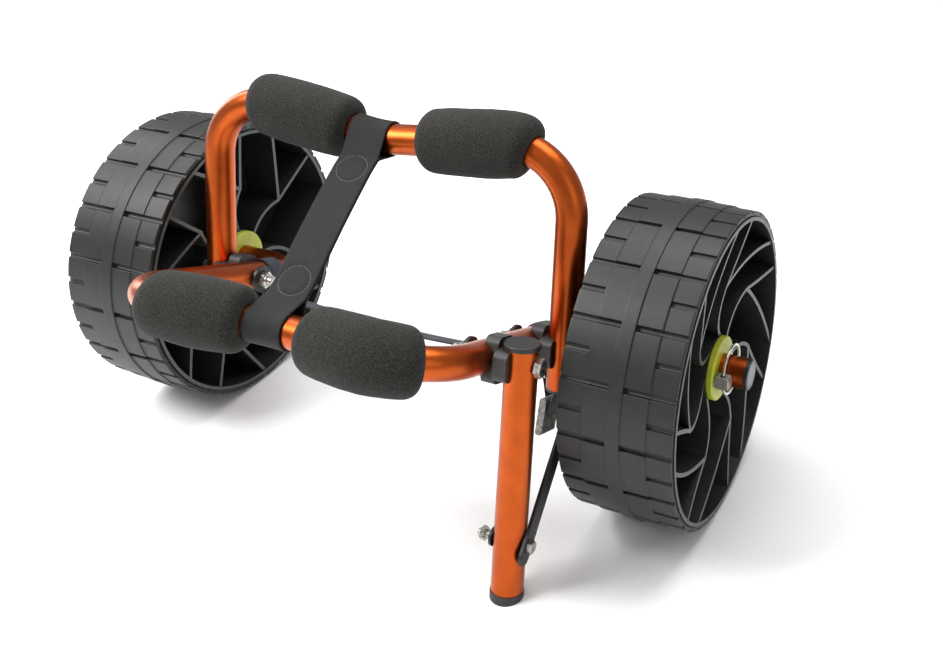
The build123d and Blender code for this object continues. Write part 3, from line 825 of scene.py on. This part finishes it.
@dataclass
class Tread:
    """The rubber tyre band: centre rib, two stepped rows each side, and slots with eased edges."""

    layout: Layout
    side: Side
    middle: float = 236.5 * MM
    rib_radius: float = 130 * MM
    inner_row_radius: float = 129 * MM
    outer_row_radius: float = 128 * MM
    slot_floor: float = 125.8 * MM
    inside_radius: float = 123.3 * MM
    slots: int = 18
    slot_half: float = 2.3
    bare_turns: tuple[float, ...] = (0.15, 0.25, 0.35)

    def slot_lines(self) -> list[tuple[float, float]]:
        """Give the lines across one slot.

        Returns:
            Arc offsets in mm, and how deep each lies, from 0 to 1.
        """
        half = self.slot_half
        rise = [(half + 0.6, 0.0), (half + 0.16, 0.0), (half - 0.02, 0.2)]
        rise += [(half - 0.2, 0.8), (half - 0.45, 1.0)]
        return [(-a, d) for a, d in rise] + [(0.0, 1.0)] + [(a, d) for a, d in reversed(rise)]

    def row_lines(self) -> list[tuple[float, float, float, float]]:
        """Give the lines from the middle of the tread to its edge.

        Returns:
            The place in mm, the radius, and how far long and short slots are cut, from 0 to 1.
        """
        rib, inner, outer = self.rib_radius, self.inner_row_radius, self.outer_row_radius
        lines = [(0.0, rib, 0, 0), (2.5, rib, 0, 0), (4.7, rib, 0, 0), (5.25, rib, 0, 0)]
        lines += [(5.45, rib - 0.12 * MM, 0.0, 0)]
        lines += [(5.6, inner + 0.2 * MM, 0.55, 0), (5.8, inner, 1, 0), (6.4, inner, 1, 0)]
        lines += [(12.0, inner, 1, 0), (19.0, inner, 1, 0), (24.5, inner, 1, 0), (25.1, inner, 1, 0)]
        lines += [(25.4, inner - 0.1 * MM, 1, 0.0), (25.6, outer + 0.25 * MM, 1, 0.55), (25.85, outer, 1, 1)]
        lines += [(26.5, outer, 1, 1), (32.0, outer, 1, 1), (38.0, outer, 1, 1), (43.2, outer, 1, 1)]
        lines += [(44.3, outer, 1, 1), (44.75, outer - 0.12 * MM, 1, 1), (45.0, outer - 0.5 * MM, 1, 1)]
        return lines

    def turn_lines(self) -> list[tuple[float, float, float]]:
        """Give the lines round the wheel.

        Returns:
            Each line's angle, and how deep it lies in a long and in a short slot.
        """
        pitch = 2 * math.pi / self.slots
        scale = MM / self.outer_row_radius
        lines = []
        for turn in range(self.slots):
            start = turn * pitch
            lines += [(start + a * scale, d, 0.0) for a, d in self.slot_lines()]
            lines += [(start + pitch * share, 0.0, 0.0) for share in self.bare_turns]
            lines += [(start + pitch / 2 + a * scale, 0.0, d) for a, d in self.slot_lines()]
            lines += [(start + pitch * (share + 0.5), 0.0, 0.0) for share in self.bare_turns]
        return lines

    def build(self) -> bpy.types.Object:
        """Build the band and put it on its wheel.

        Returns:
            The tread object.
        """
        half = self.row_lines()
        rows = [(-place, *rest) for place, *rest in reversed(half[1:])] + half
        inside = self.inside_radius
        points: list[Vector] = []
        turns = self.turn_lines()
        centre = self.layout.axle + self.layout.across * (self.side.value * self.middle)
        for angle, long_cut, short_cut in turns:
            column: list[tuple[float, float]] = []
            for place, radius, long_share, short_share in rows:
                cut = max(long_cut * long_share, short_cut * short_share)
                column.append((place, radius + (self.slot_floor - radius) * cut))
            eased = max(column[-1][1] - 0.9 * MM, inside)
            wall = [(45.05, eased), (45.05, inside), (44.2, inside)]
            column = [(-place, radius) for place, radius in reversed(wall)] + column + wall
            way = Vector((0, math.cos(angle), math.sin(angle)))
            points += [centre + self.layout.across * (place * MM) + way * radius for place, radius in column]
        name = self.side.name.lower()
        faces = ring_faces(len(turns), len(points) // len(turns), True, False)
        made = make_object(f"tread_band_{name}", points, faces, [RUBBER])
        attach(made, f"{name}_wheel")
        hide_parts(f"wheel_tread_{name}")
        return made


# ---------------------------------------------------------------- foam pads


@dataclass
class FoamPad:
    """A foam sleeve pushed over half a bar and part of its bend, fat in the middle, eased at its ends."""

    layout: Layout
    bar: Bar
    side: Side
    inner_end: float
    wrap: float
    radius: float = 24.4 * MM
    ease: float = 10.5 * MM
    crown: float = 2.3 * MM
    around: int = 64
    rings: int = 64
    straight_step: float = 2.5 * MM
    bend_step: float = 2.0 * MM
    end_drop: float = 0.85
    end_power: float = 2.2
    swells: tuple[tuple[float, float], ...] = ((30 * MM, 0.7 * MM), (9 * MM, 0.22 * MM))

    def line(self) -> tuple[list[Vector], list[Vector]]:
        """Give the line that the sleeve follows.

        Returns:
            Centre points, and the direction towards the outside of the bend at each.
        """
        origin, way, reach, slope, half = self.layout.bar_line(self.bar)
        turn = math.radians(slope)
        along = Vector((math.cos(turn), math.sin(turn)))
        corner = Vector((half, reach + half * math.tan(turn)))
        bend = self.layout.bend_radius
        last = corner - along * (bend * math.tan((math.pi / 2 + turn) / 2))
        first = Vector((self.inner_end, reach + self.inner_end * math.tan(turn)))
        spots, outs = [], []
        straight = (last - first).length
        count = max(8, round(straight / self.straight_step))
        for k in range(count + 1):
            spots.append(first.lerp(last, k / count))
            outs.append(Vector((-along.y, along.x)))
        centre = last + Vector((along.y, -along.x)) * bend
        steps = round(bend * math.radians(self.wrap) / self.bend_step)
        for k in range(1, steps + 1):
            angle = math.pi / 2 + turn - math.radians(self.wrap) * k / steps
            out = Vector((math.cos(angle), math.sin(angle)))
            spots.append(centre + out * bend)
            outs.append(out)
        flip = self.side.value

        def lift(flat: Vector) -> Vector:
            """Lay a flat direction in the frame's plane."""
            return self.layout.across * (flat.x * flip) + way * flat.y

        return [origin + lift(spot) for spot in spots], [lift(out) for out in outs]

    def profile(self, at: float, total: float) -> float:
        """Give the sleeve's radius at a place along it.

        Args:
            at: the length from its inner end.
            total: its whole length.

        Returns:
            The radius, less near an end.
        """
        share = 2 * at / total - 1
        radius = self.radius + self.crown * (1 - share * share)
        near = min(at, total - at)
        if near < self.ease:
            miss = 1 - near / self.ease
            radius -= self.ease * self.end_drop * (1 - math.sqrt(max(0.0, 1 - miss**self.end_power)))
        return radius

    def build(self) -> bpy.types.Object:
        """Build the sleeve with its end faces and put it on its frame.

        Returns:
            The pad object.
        """
        spots, outs = self.line()
        lengths = [0.0]
        for here, there in zip(spots, spots[1:]):
            lengths.append(lengths[-1] + (there - here).length)
        total = lengths[-1]
        dense = [total * 0.5 * (1 - math.cos(math.pi * k / self.rings)) for k in range(self.rings + 1)]
        hole = self.layout.tube_radius - 0.2 * MM
        mouth = ((hole, 4.0 * MM), (hole, 0.6 * MM), (hole + 2 * MM, -0.2 * MM))
        rings = [(0.0, radius, push) for radius, push in mouth]
        rings += [(at, self.profile(at, total), 0.0) for at in dense]
        rings += [(total, radius, -push) for radius, push in reversed(mouth)]
        way = self.layout.bar_line(self.bar)[1]
        normal = self.layout.across.cross(way).normalized()
        points: list[Vector] = []
        seed = Vector((7.3 * self.side.value, 3.1 if self.bar is Bar.LOWER else 9.7, 0.0))
        for at, radius, push in rings:
            place = next(k for k in range(len(lengths) - 1) if lengths[k + 1] >= at - 1e-9)
            share = (at - lengths[place]) / (lengths[place + 1] - lengths[place])
            spot = spots[place].lerp(spots[place + 1], share)
            out = outs[place].lerp(outs[place + 1], share).normalized()
            ahead = (spots[place + 1] - spots[place]).normalized()
            for k in range(self.around):
                angle = 2 * math.pi * k / self.around
                point = spot + (out * math.cos(angle) + normal * math.sin(angle)) * radius + ahead * push
                if radius > hole + 3 * MM:
                    swell = sum(noise.noise(point / size + seed) * lift for size, lift in self.swells)
                    point += (point - spot).normalized() * swell
                points.append(point)
        name = f"foam_pad_{self.bar.value}_{self.side.name.lower()}"
        made = make_object(name, points, ring_faces(len(rings), self.around, False, True), [FOAM])
        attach(made, f"{self.bar.value}_frame")
        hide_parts(f"{self.bar.value}_pad_{self.side.name.lower()}")
        return made


# ---------------------------------------------------------------- link strap


@dataclass
class LinkStrap:
    """The wide band looped round both bars, its two layers sewn together at two stitched roundels."""

    layout: Layout
    width: float = 34 * MM
    thickness: float = 1.75 * MM
    skew: float = 9 * MM
    loop_radius: float = 13.7 * MM
    joins: tuple[float, float] = (25 * MM, 24 * MM)
    roundels: tuple[float, float] = (39 * MM, 142 * MM)
    roundel_radius: float = 12.8 * MM
    stitches: int = 30
    layer_gap: float = 0.06 * MM
    arc_steps: int = 24
    run_steps: int = 30
    spacing: float = 1.5 * MM
    seam_depth: float = 0.55 * MM
    seam_spread: float = 1.3 * MM
    proud: float = 0.45 * MM
    proud_edge: float = 2 * MM
    curl: tuple[float, float] = (30 * MM, 22 * MM)
    droop: tuple[tuple[float, float], ...] = (
        (0.14, -5.2),
        (0.22, -6.4),
        (0.36, -6.2),
        (0.5, -5.6),
        (0.64, -4.2),
        (0.74, -2.8),
        (0.8, -2.3),
        (0.86, -3.2),
    )

    def ends(self) -> tuple[Vector, Vector]:
        """Give the middles of the loops at the upper and the lower bar, both at the cart's middle."""
        high = self.layout.bar_middle(Bar.UPPER, -self.skew)
        return high + self.layout.across * self.skew, self.layout.bar_middle(Bar.LOWER, 0.0)

    def middle(self, x: float, run: float) -> float:
        """Give how far the band's middle lies from the straight line between the bars.

        Args:
            x: the distance from the upper bar.
            run: the distance between the bars.

        Returns:
            The offset in metres, negative upwards.
        """
        places = [(share * run, lift * MM) for share, lift in self.droop]
        if x <= places[0][0]:
            return places[0][1]
        for (x0, y0), (x1, y1) in zip(places, places[1:]):
            if x <= x1:
                return y0 + (y1 - y0) * (x - x0) / (x1 - x0)
        return places[-1][1]

    def loop(self, centre: float, join: Vector, gap: float) -> list[Vector]:
        """Give the band's middle line round one bar, from one layer's join to the other's.

        Args:
            centre: the bar's place along the strap.
            join: where the two layers meet.
            gap: half the distance between the layers' middles.

        Returns:
            The points, from the lower layer round to the upper layer.
        """
        hub = Vector((centre, 0.0))
        facing = 1 if join.x > centre else -1
        below, above = join + Vector((0, gap)) - hub, join - Vector((0, gap)) - hub
        leave = math.atan2(below.y, below.x * facing) + math.acos(self.loop_radius / below.length)
        arrive = math.atan2(above.y, above.x * facing) - math.acos(self.loop_radius / above.length)
        arrive += 2 * math.pi
        arc = []
        for k in range(self.arc_steps + 1):
            angle = leave + (arrive - leave) * k / self.arc_steps
            arc.append(hub + Vector((math.cos(angle) * facing, math.sin(angle))) * self.loop_radius)
        return [hub + below, *arc, hub + above]

    def flat_path(self, run: float) -> list[Vector]:
        """Give the middle line of the band in the strap's own plane.

        Args:
            run: the distance between the bars.

        Returns:
            The closed line's points.
        """
        gap = self.thickness / 2 + self.layer_gap
        first, last = self.joins[0], run - self.joins[1]
        upper = self.loop(0.0, Vector((first, self.middle(first, run))), gap)
        lower = self.loop(run, Vector((last, self.middle(last, run))), gap)
        steps = self.run_steps
        spots = [first + (last - first) * (k + 0.5) / steps for k in range(steps)]
        top = [Vector((x, self.middle(x, run) - gap)) for x in spots]
        under = [Vector((x, self.middle(x, run) + gap)) for x in reversed(spots)]
        return upper + top + lower[::-1] + under

    def build(self) -> bpy.types.Object:
        """Build the strap between the two frames.

        Returns:
            The strap object.
        """
        high, low = self.ends()
        run = (low - high).length
        along = (low - high).normalized()
        up = self.layout.across.cross(along)

        def lift(spot: Vector) -> Vector:
            """Lay a flat point in the strap's plane."""
            return high + along * spot.x + up * spot.y

        flat = soften(self.flat_path(run), True, 2)
        path = even_path([lift(spot) for spot in flat], True, self.spacing)
        band = Band(self.width, self.thickness, self.layout.across, 24)
        points, faces, places = band.sweep(path, True)
        slots = [0] * len(faces)
        self.roundel_relief(points, high, along, up)
        for centre in self.roundels:
            for face in (-1, 1):
                self.stitch_ring(points, faces, places, slots, lift, centre, face)
        self.settle(points, high, along, run)
        made = make_object("link_strap_webbing", points, faces, [STRAP, THREAD], lambda k: places[k], slots)
        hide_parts("link_strap")
        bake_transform(made)
        return made

    def settle(self, points: list[Vector], high: Vector, along: Vector, run: float) -> None:
        """Lay the strap aslant and let each loop follow its own bar.

        Args:
            points: the strap's vertices, moved in place.
            high: the loop's middle at the upper bar.
            along: the strap's direction.
            run: the distance between the bars.
        """
        for place, point in enumerate(points):
            reach = (point - high).dot(along)
            slant = min(1.0, max(0.0, reach / run))
            point = point - self.layout.across * (self.skew * (1 - slant))
            for bar, inward in ((Bar.UPPER, reach), (Bar.LOWER, run - reach)):
                weight = min(1.0, max(0.0, (self.curl[0] - inward) / self.curl[1]))
                if weight > 0:
                    local = self.layout.bar_middle(bar, point.x)
                    usual = self.layout.bar_middle(bar, -self.skew if bar is Bar.UPPER else 0.0)
                    shift = local - usual
                    point = point + Vector((0, shift.y, shift.z)) * (weight * weight * (3 - 2 * weight))
            points[place] = point

    def roundel_relief(self, points: list[Vector], high: Vector, along: Vector, up: Vector) -> None:
        """Pull the band in along each roundel's seam and let its middle stand proud.

        Args:
            points: the band's vertices, moved in place.
            high: the loop's middle at the upper bar.
            along: the strap's direction.
            up: the direction square to the strap.
        """
        run = (self.ends()[1] - self.ends()[0]).length
        for place, point in enumerate(points):
            offset = point - high
            reach = offset.dot(along)
            lift = offset.dot(up) - self.middle(reach, run)
            for centre in self.roundels:
                away = math.hypot(reach - centre, offset.x)
                if away < self.roundel_radius + 4 * MM and abs(lift) > 1.2 * MM:
                    off = (away - self.roundel_radius) / self.seam_spread
                    seam = self.seam_depth * math.exp(-(off**2))
                    inside = self.roundel_radius - self.proud_edge - away
                    proud = self.proud * min(1.0, max(0.0, inside / self.proud_edge))
                    point = point + up * ((proud - seam) * (1 if lift > 0 else -1))
            points[place] = point

    def stitch_ring(
        self,
        points: list[Vector],
        faces: list[tuple[int, ...]],
        places: list[tuple[float, float]],
        slots: list[int],
        lift: Callable[[Vector], Vector],
        centre: float,
        face: int,
    ) -> None:
        """Sew a ring of short stitches round a roundel.

        Args:
            points: the strap's vertices, added to.
            faces: the strap's faces, added to.
            places: flat places of the vertices, added to.
            slots: material slots of the faces, added to.
            lift: lays a flat point in the strap's plane.
            centre: the roundel's distance from the upper loop's middle.
            face: 1 or -1, the strap's face it is sewn on.
        """
        run = (self.ends()[1] - self.ends()[0]).length
        for turn in range(self.stitches):
            ring = []
            for end in (-0.36, -0.12, 0.12, 0.36):
                angle = 2 * math.pi * (turn + end) / self.stitches
                crest = 0.5 * MM if abs(end) < 0.2 else 0.1 * MM
                for across in (-0.5 * MM, 0.0, 0.5 * MM):
                    reach = self.roundel_radius + across
                    x = centre + reach * math.cos(angle)
                    height = self.thickness - 0.45 * MM + (crest if across == 0 else crest * 0.3)
                    spot = lift(Vector((x, self.middle(x, run) + face * height)))
                    ring.append(spot + self.layout.across * (reach * math.sin(angle)))
            base = len(points)
            points += ring
            places += [(0.0, 0.0)] * len(ring)
            quads = ring_faces(4, 3, False, False, base)
            faces += quads
            slots += [1] * len(quads)


# ---------------------------------------------------------------- tie webbing and buckle


@dataclass
class TieWebbing:
    """The narrow band that passes under both lower legs and grips them."""

    layout: Layout
    reach: float = 45 * MM
    width: float = 18 * MM
    thickness: float = 1.5 * MM
    dip: float = 6.0

    def plane_point(self, x: float, y: float) -> Vector:
        """Lay a flat point in the plane square to the lower legs."""
        layout = self.layout
        return layout.axle + layout.lower_way * self.reach + layout.across * x + layout.lower_up * y

    @property
    def wrap_radius(self) -> float:
        """The radius of the band's middle round a leg."""
        return self.layout.tube_radius + 0.3 * MM + self.thickness / 2

    def build(self) -> bpy.types.Object:
        """Build the band on the lower frame.

        Returns:
            The webbing object.
        """
        half, wrap, dip = self.layout.lower_half, self.wrap_radius, math.radians(self.dip)
        sag_radius = (half + wrap * math.sin(dip)) / math.sin(dip)
        sag_height = (sag_radius - wrap) * math.cos(dip)
        turn = math.radians(269)
        path = []
        for k in range(33):
            angle = -math.pi / 2 - dip - turn + turn * k / 32
            path.append(self.plane_point(-half + wrap * math.cos(angle), wrap * math.sin(angle)))
        for k in range(1, 40):
            angle = -math.pi / 2 - dip + 2 * dip * k / 40
            lift = sag_height + sag_radius * math.sin(angle)
            path.append(self.plane_point(sag_radius * math.cos(angle), lift))
        for k in range(33):
            angle = -math.pi / 2 + dip + turn * k / 32
            path.append(self.plane_point(half + wrap * math.cos(angle), wrap * math.sin(angle)))
        band = Band(self.width, self.thickness, self.layout.lower_way)
        points, faces, places = band.sweep(even_path(path, False, 2.5 * MM), False)
        made = make_object("tie_band", points, faces, [NAVY], lambda k: places[k])
        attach(made, "lower_frame")
        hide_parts("tie_webbing")
        return made


@dataclass
class BuckleTail:
    """The band's loose tail at the right leg, down to the cam buckle, with a frayed fold."""

    tie: TieWebbing
    length: float = 28 * MM
    end_x: float = 151 * MM
    bow: float = 1.2 * MM
    fold: float = 20 * MM
    strands: int = 22
    seed: int = 5

    def build(self) -> list[bpy.types.Object]:
        """Build the tail and its frayed fold.

        Returns:
            The two webbing objects.
        """
        tie = self.tie
        top_x = tie.layout.lower_half + 2.5 * MM
        top_y = -tie.wrap_radius - tie.thickness / 2 - 0.35 * MM
        end_x = self.end_x
        end_y = top_y - self.length
        path = []
        for k in range(15):
            share = k / 14
            bow = self.bow * math.sin(math.pi * share)
            x = top_x + (end_x - top_x) * share + bow
            path.append(tie.plane_point(x, top_y + (end_y - top_y) * share))
        band = Band(tie.width, tie.thickness, tie.layout.lower_way)
        points, faces, places = band.sweep(path, False)
        tail = make_object("buckle_tail", points, faces, [NAVY], lambda k: places[k])
        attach(tail, "lower_frame")
        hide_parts("buckle_webbing")
        return [tail, self.frayed_fold(end_x, end_y)]

    def frayed_fold(self, end_x: float, end_y: float) -> bpy.types.Object:
        """Build the fold behind the buckle, its cut end teased into strands.

        Args:
            end_x: the tail's end along the axle.
            end_y: the tail's end square to the frame.

        Returns:
            The fold object.
        """
        tie = self.tie
        path = []
        for k in range(13):
            share = k / 12
            x = end_x + 4.2 * MM - 1.5 * MM * math.cos(math.pi * share)
            path.append(tie.plane_point(x, end_y - 16 * MM + self.fold * share))
        band = Band(tie.width - 2 * MM, 1.2 * MM, tie.layout.lower_way, 8)
        points, faces, places = band.sweep(path, False)
        top = path[-1]
        noise.seed_set(self.seed)
        for strand in range(self.strands):
            across = tie.layout.lower_way * ((strand / (self.strands - 1) - 0.5) * (tie.width - 3 * MM))
            sway = noise.noise_vector(Vector((strand * 0.71, 2.3, 5.1)))
            tip = top + across + tie.layout.lower_up * (4 * MM + 1.6 * MM * sway.x)
            tip += tie.layout.across * (1.6 * MM * sway.y) + tie.layout.lower_way * (1.4 * MM * sway.z)
            base = len(points)
            foot = top + across - tie.layout.lower_up * (1.0 * MM)
            for spot, thick in ((foot, 0.42), ((foot + tip) / 2 + sway * 0.6 * MM, 0.36), (tip, 0.12)):
                for k in range(4):
                    angle = math.pi / 2 * k
                    ring = tie.layout.across * math.cos(angle) + tie.layout.lower_way * math.sin(angle)
                    points.append(spot + ring * (thick * MM))
                    places.append((k * 0.3 * MM, across.length))
            faces += ring_faces(3, 4, False, True, base)
            faces.append((base + 8, base + 9, base + 10, base + 11))
        made = make_object("frayed_fold", points, faces, [FRAY], lambda k: places[k])
        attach(made, "lower_frame")
        return made


# ---------------------------------------------------------------- screw threads


@dataclass
class ScrewThread:
    """A rolled thread: one ridge that winds round the free end of a bolt."""

    name: str
    body: str
    centre: Vector
    start: float
    end: float
    radius: float
    pitch: float
    height: float = 0.42 * MM
    per_turn: int = 28
    root: float = 0.06 * MM

    def build(self) -> bpy.types.Object:
        """Build the ridge on its body.

        Returns:
            The thread object.
        """
        run = self.end - self.start
        count = max(8, round(abs(run) / self.pitch * self.per_turn))
        points: list[Vector] = []
        for k in range(count + 1):
            share = k / count
            angle = 2 * math.pi * k / self.per_turn
            crest = self.height * min(1.0, 6 * share + 0.15, 6 * (1 - share) + 0.15)
            way = Vector((0, math.cos(angle), math.sin(angle)))
            x = self.start + run * share
            for offset, lift in ((-0.42, -self.root), (-0.12, crest), (0.12, crest), (0.42, -self.root)):
                spot = Vector((x + offset * self.pitch, self.centre.y, self.centre.z))
                points.append(spot + way * (self.radius + lift))
        faces = ring_faces(count + 1, 4, False, True)
        last = 4 * count
        faces += [(0, 1, 2, 3), (last + 3, last + 2, last + 1, last)]
        made = make_object(self.name, points, faces, [PLATED])
        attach(made, self.body)
        return made


@dataclass
class Hardware:
    """The bolts whose threads show past their nuts."""

    layout: Layout
    shown: float = 4.4 * MM

    def build(self) -> list[bpy.types.Object]:
        """Build the thread ridges: the 8 mm pivot bolts, and the 6 mm bolt of the stay.

        Returns:
            The thread objects.
        """
        pivot, stand = self.layout.pivot, self.layout.joint("stand_swing")
        stay = self.layout.joint("stay_swing")
        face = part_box("stand_pivot_nut")[0].x
        bolt_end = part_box("stay_lower_bolt")[0].x
        dome_low, dome_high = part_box("stay_lower_nut")
        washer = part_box("stay_lower_washer")[0].x
        coarse, fine = (4 * MM, 1.25 * MM), (3 * MM, 1.0 * MM, 0.35 * MM)
        threads = []
        for side in Side:
            start, end = face * side.value, (face - self.shown) * side.value
            name = f"pivot_thread_{side.name.lower()}"
            threads.append(ScrewThread(name, "lower_frame", pivot, start, end, *coarse))
        threads.append(ScrewThread("stand_thread", "lower_frame", stand, face, face - self.shown, *coarse))
        threads.append(ScrewThread("stay_thread", "stand", stay, washer, dome_high.x, *fine))
        if dome_low.x - bolt_end > 1.2 * MM:
            tip = bolt_end + 0.7 * MM
            threads.append(ScrewThread("stay_thread_tip", "stand", stay, dome_low.x, tip, *fine))
        return [thread.build() for thread in threads]


# ---------------------------------------------------------------- dressing the frame


@dataclass
class FrameDress:
    """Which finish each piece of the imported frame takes."""

    layout: Layout

    def finishes(self) -> dict[str, Finish]:
        """Choose the finishes.

        Returns:
            The finish of each shown node.
        """
        centre = (self.layout.axle.y, self.layout.axle.z)
        disc = TurnedDisc("acetal_disc_turned", "#B3BA30", 0.42, specular=0.5, middle=centre)
        plug = PlugPlastic("polyethylene_plug_moulded", "#121212", 0.45, middle=centre)
        by_finish = {
            TUBE: ("lower_frame_tube", "upper_frame_tube", "stand_tube"),
            BLACK: ("lower_pivot_saddles", "upper_pivot_saddles", "stand_saddle_inner", "stand_saddle_outer"),
            CAP: (
                "upper_leg_caps",
                "stand_top_cap",
                "stand_foot",
                "stay_lower_washer",
                "pivot_washers",
                "stand_pivot_washer",
            ),
            PLATED: (
                "pivot_bolts",
                "pivot_nuts",
                "stand_pivot_bolt",
                "stand_pivot_nut",
                "stay_lower_bolt",
                "stay_lower_nut",
                "stay_upper_bolt",
                "stay_upper_nut",
            ),
            PIN_CAST: ("lock_pins",),
            WIRE: ("lock_ring_left", "lock_ring_right"),
            BAR_PAINT: ("stay_bar",),
            BUCKLE: ("cam_buckle",),
            WHEEL: ("wheel_hub_left", "wheel_hub_right"),
            disc: ("hub_discs",),
            plug: ("axle_end_plugs",),
        }
        return {node: finish for finish, nodes in by_finish.items() for node in nodes}

    def dress(self) -> None:
        """Give every shown node its material."""
        for node, finish in self.finishes().items():
            mesh = frame["nodes"][node].data
            mesh.materials.clear()
            mesh.materials.append(finish.material())
            LOG.info("dressed %s in %s", node, finish.name)


# ---------------------------------------------------------------- studio


@dataclass
class Studio:
    """White paper floor, soft lights and the camera."""

    camera_place: Vector = field(default_factory=lambda: Vector((0.52339, -0.72485, 0.64799)))
    azimuth: float = 23.68
    elevation: float = 24.21
    lens: float = 45.69
    shift: tuple[float, float] = (-0.1536, -0.1416)
    floor_half: float = 9.0
    floor_drop: float = 0.3 * MM
    sky: float = 0.45

    def camera(self) -> bpy.types.Object:
        """Set the camera and make it the scene's own.

        Returns:
            The camera object.
        """
        turn, tilt = math.radians(self.azimuth), math.radians(self.elevation)
        back = Vector((math.sin(turn) * math.cos(tilt), -math.cos(turn) * math.cos(tilt), math.sin(tilt)))
        right = Vector((math.cos(turn), math.sin(turn), 0))
        up = back.cross(right)
        data = bpy.data.cameras.new("studio_camera")
        data.lens = self.lens
        data.sensor_width = 36
        data.shift_x, data.shift_y = self.shift
        data.clip_end = 50
        made = bpy.data.objects.new("studio_camera", data)
        turned = Matrix((right, up, back)).transposed().to_4x4()
        made.matrix_world = Matrix.Translation(self.camera_place) @ turned
        bpy.context.scene.collection.objects.link(made)
        bpy.context.scene.camera = made
        return made

    def light(
        self, name: str, place: Vector, aim: Vector, size: tuple[float, float], watts: float
    ) -> bpy.types.Object:
        """Hang one softbox.

        Args:
            name: the light's name.
            place: where it hangs.
            aim: what it points at.
            size: its width and height.
            watts: its power.

        Returns:
            The light object.
        """
        data = bpy.data.lights.new(name, "AREA")
        data.shape = "RECTANGLE"
        data.size, data.size_y = size
        data.energy = watts
        made = bpy.data.objects.new(name, data)
        made.location = place
        made.rotation_euler = (aim - place).to_track_quat("-Z", "Y").to_euler()
        bpy.context.scene.collection.objects.link(made)
        return made

    def floor(self) -> bpy.types.Object:
        """Lay the paper floor.

        Returns:
            The floor object.
        """
        corners = ((-1, -1), (1, -1), (1, 1), (-1, 1))
        spots = [Vector((x * self.floor_half, y * self.floor_half, -self.floor_drop)) for x, y in corners]
        made = make_object("paper_floor", spots, [(0, 1, 2, 3)], [PAPER])
        return made

    def build(self) -> None:
        """Set up the whole studio."""
        self.camera()
        self.floor()
        aim = Vector((0, 0, 0.12))
        self.light("key_softbox", Vector((-1.1, -0.9, 1.7)), aim, (1.0, 1.0), 50)
        self.light("left_strip", Vector((-1.6, 0.5, 0.9)), aim, (0.5, 1.4), 12)
        self.light("right_fill", Vector((1.7, -0.7, 1.0)), aim, (1.0, 1.2), 3.5)
        self.light("top_softbox", Vector((0.1, 0.5, 1.9)), aim, (1.6, 1.2), 30)
        world = bpy.data.worlds.new("studio")
        world.use_nodes = True
        background = world.node_tree.nodes["Background"]
        background.inputs["Color"].default_value = linear("#FFFFFF")
        background.inputs["Strength"].default_value = self.sky
        bpy.context.scene.world = world
        bpy.context.scene.view_settings.view_transform = "Standard"


# ---------------------------------------------------------------- the whole cart


def main() -> None:
    """Build the cart's looks in order and report each piece."""
    logging.basicConfig(level=logging.INFO, format="%(message)s")
    layout = Layout()
    Studio().build()
    FrameDress(layout).dress()
    for side in Side:
        LOG.info("made %s", Tread(layout, side).build().name)
    pads = (
        FoamPad(layout, Bar.LOWER, Side.LEFT, 21.0 * MM, 23.5),
        FoamPad(layout, Bar.LOWER, Side.RIGHT, 36.5 * MM, 52.0),
        FoamPad(layout, Bar.UPPER, Side.LEFT, 30.0 * MM, 14.5),
        FoamPad(layout, Bar.UPPER, Side.RIGHT, 38.5 * MM, 24.0),
    )
    for pad in pads:
        LOG.info("made %s", pad.build().name)
    LOG.info("made %s", LinkStrap(layout).build().name)
    tie = TieWebbing(layout)
    LOG.info("made %s", tie.build().name)
    for piece in BuckleTail(tie).build():
        LOG.info("made %s", piece.name)
    for piece in Hardware(layout).build():
        LOG.info("made %s", piece.name)


if __name__ == "__main__":
    main()
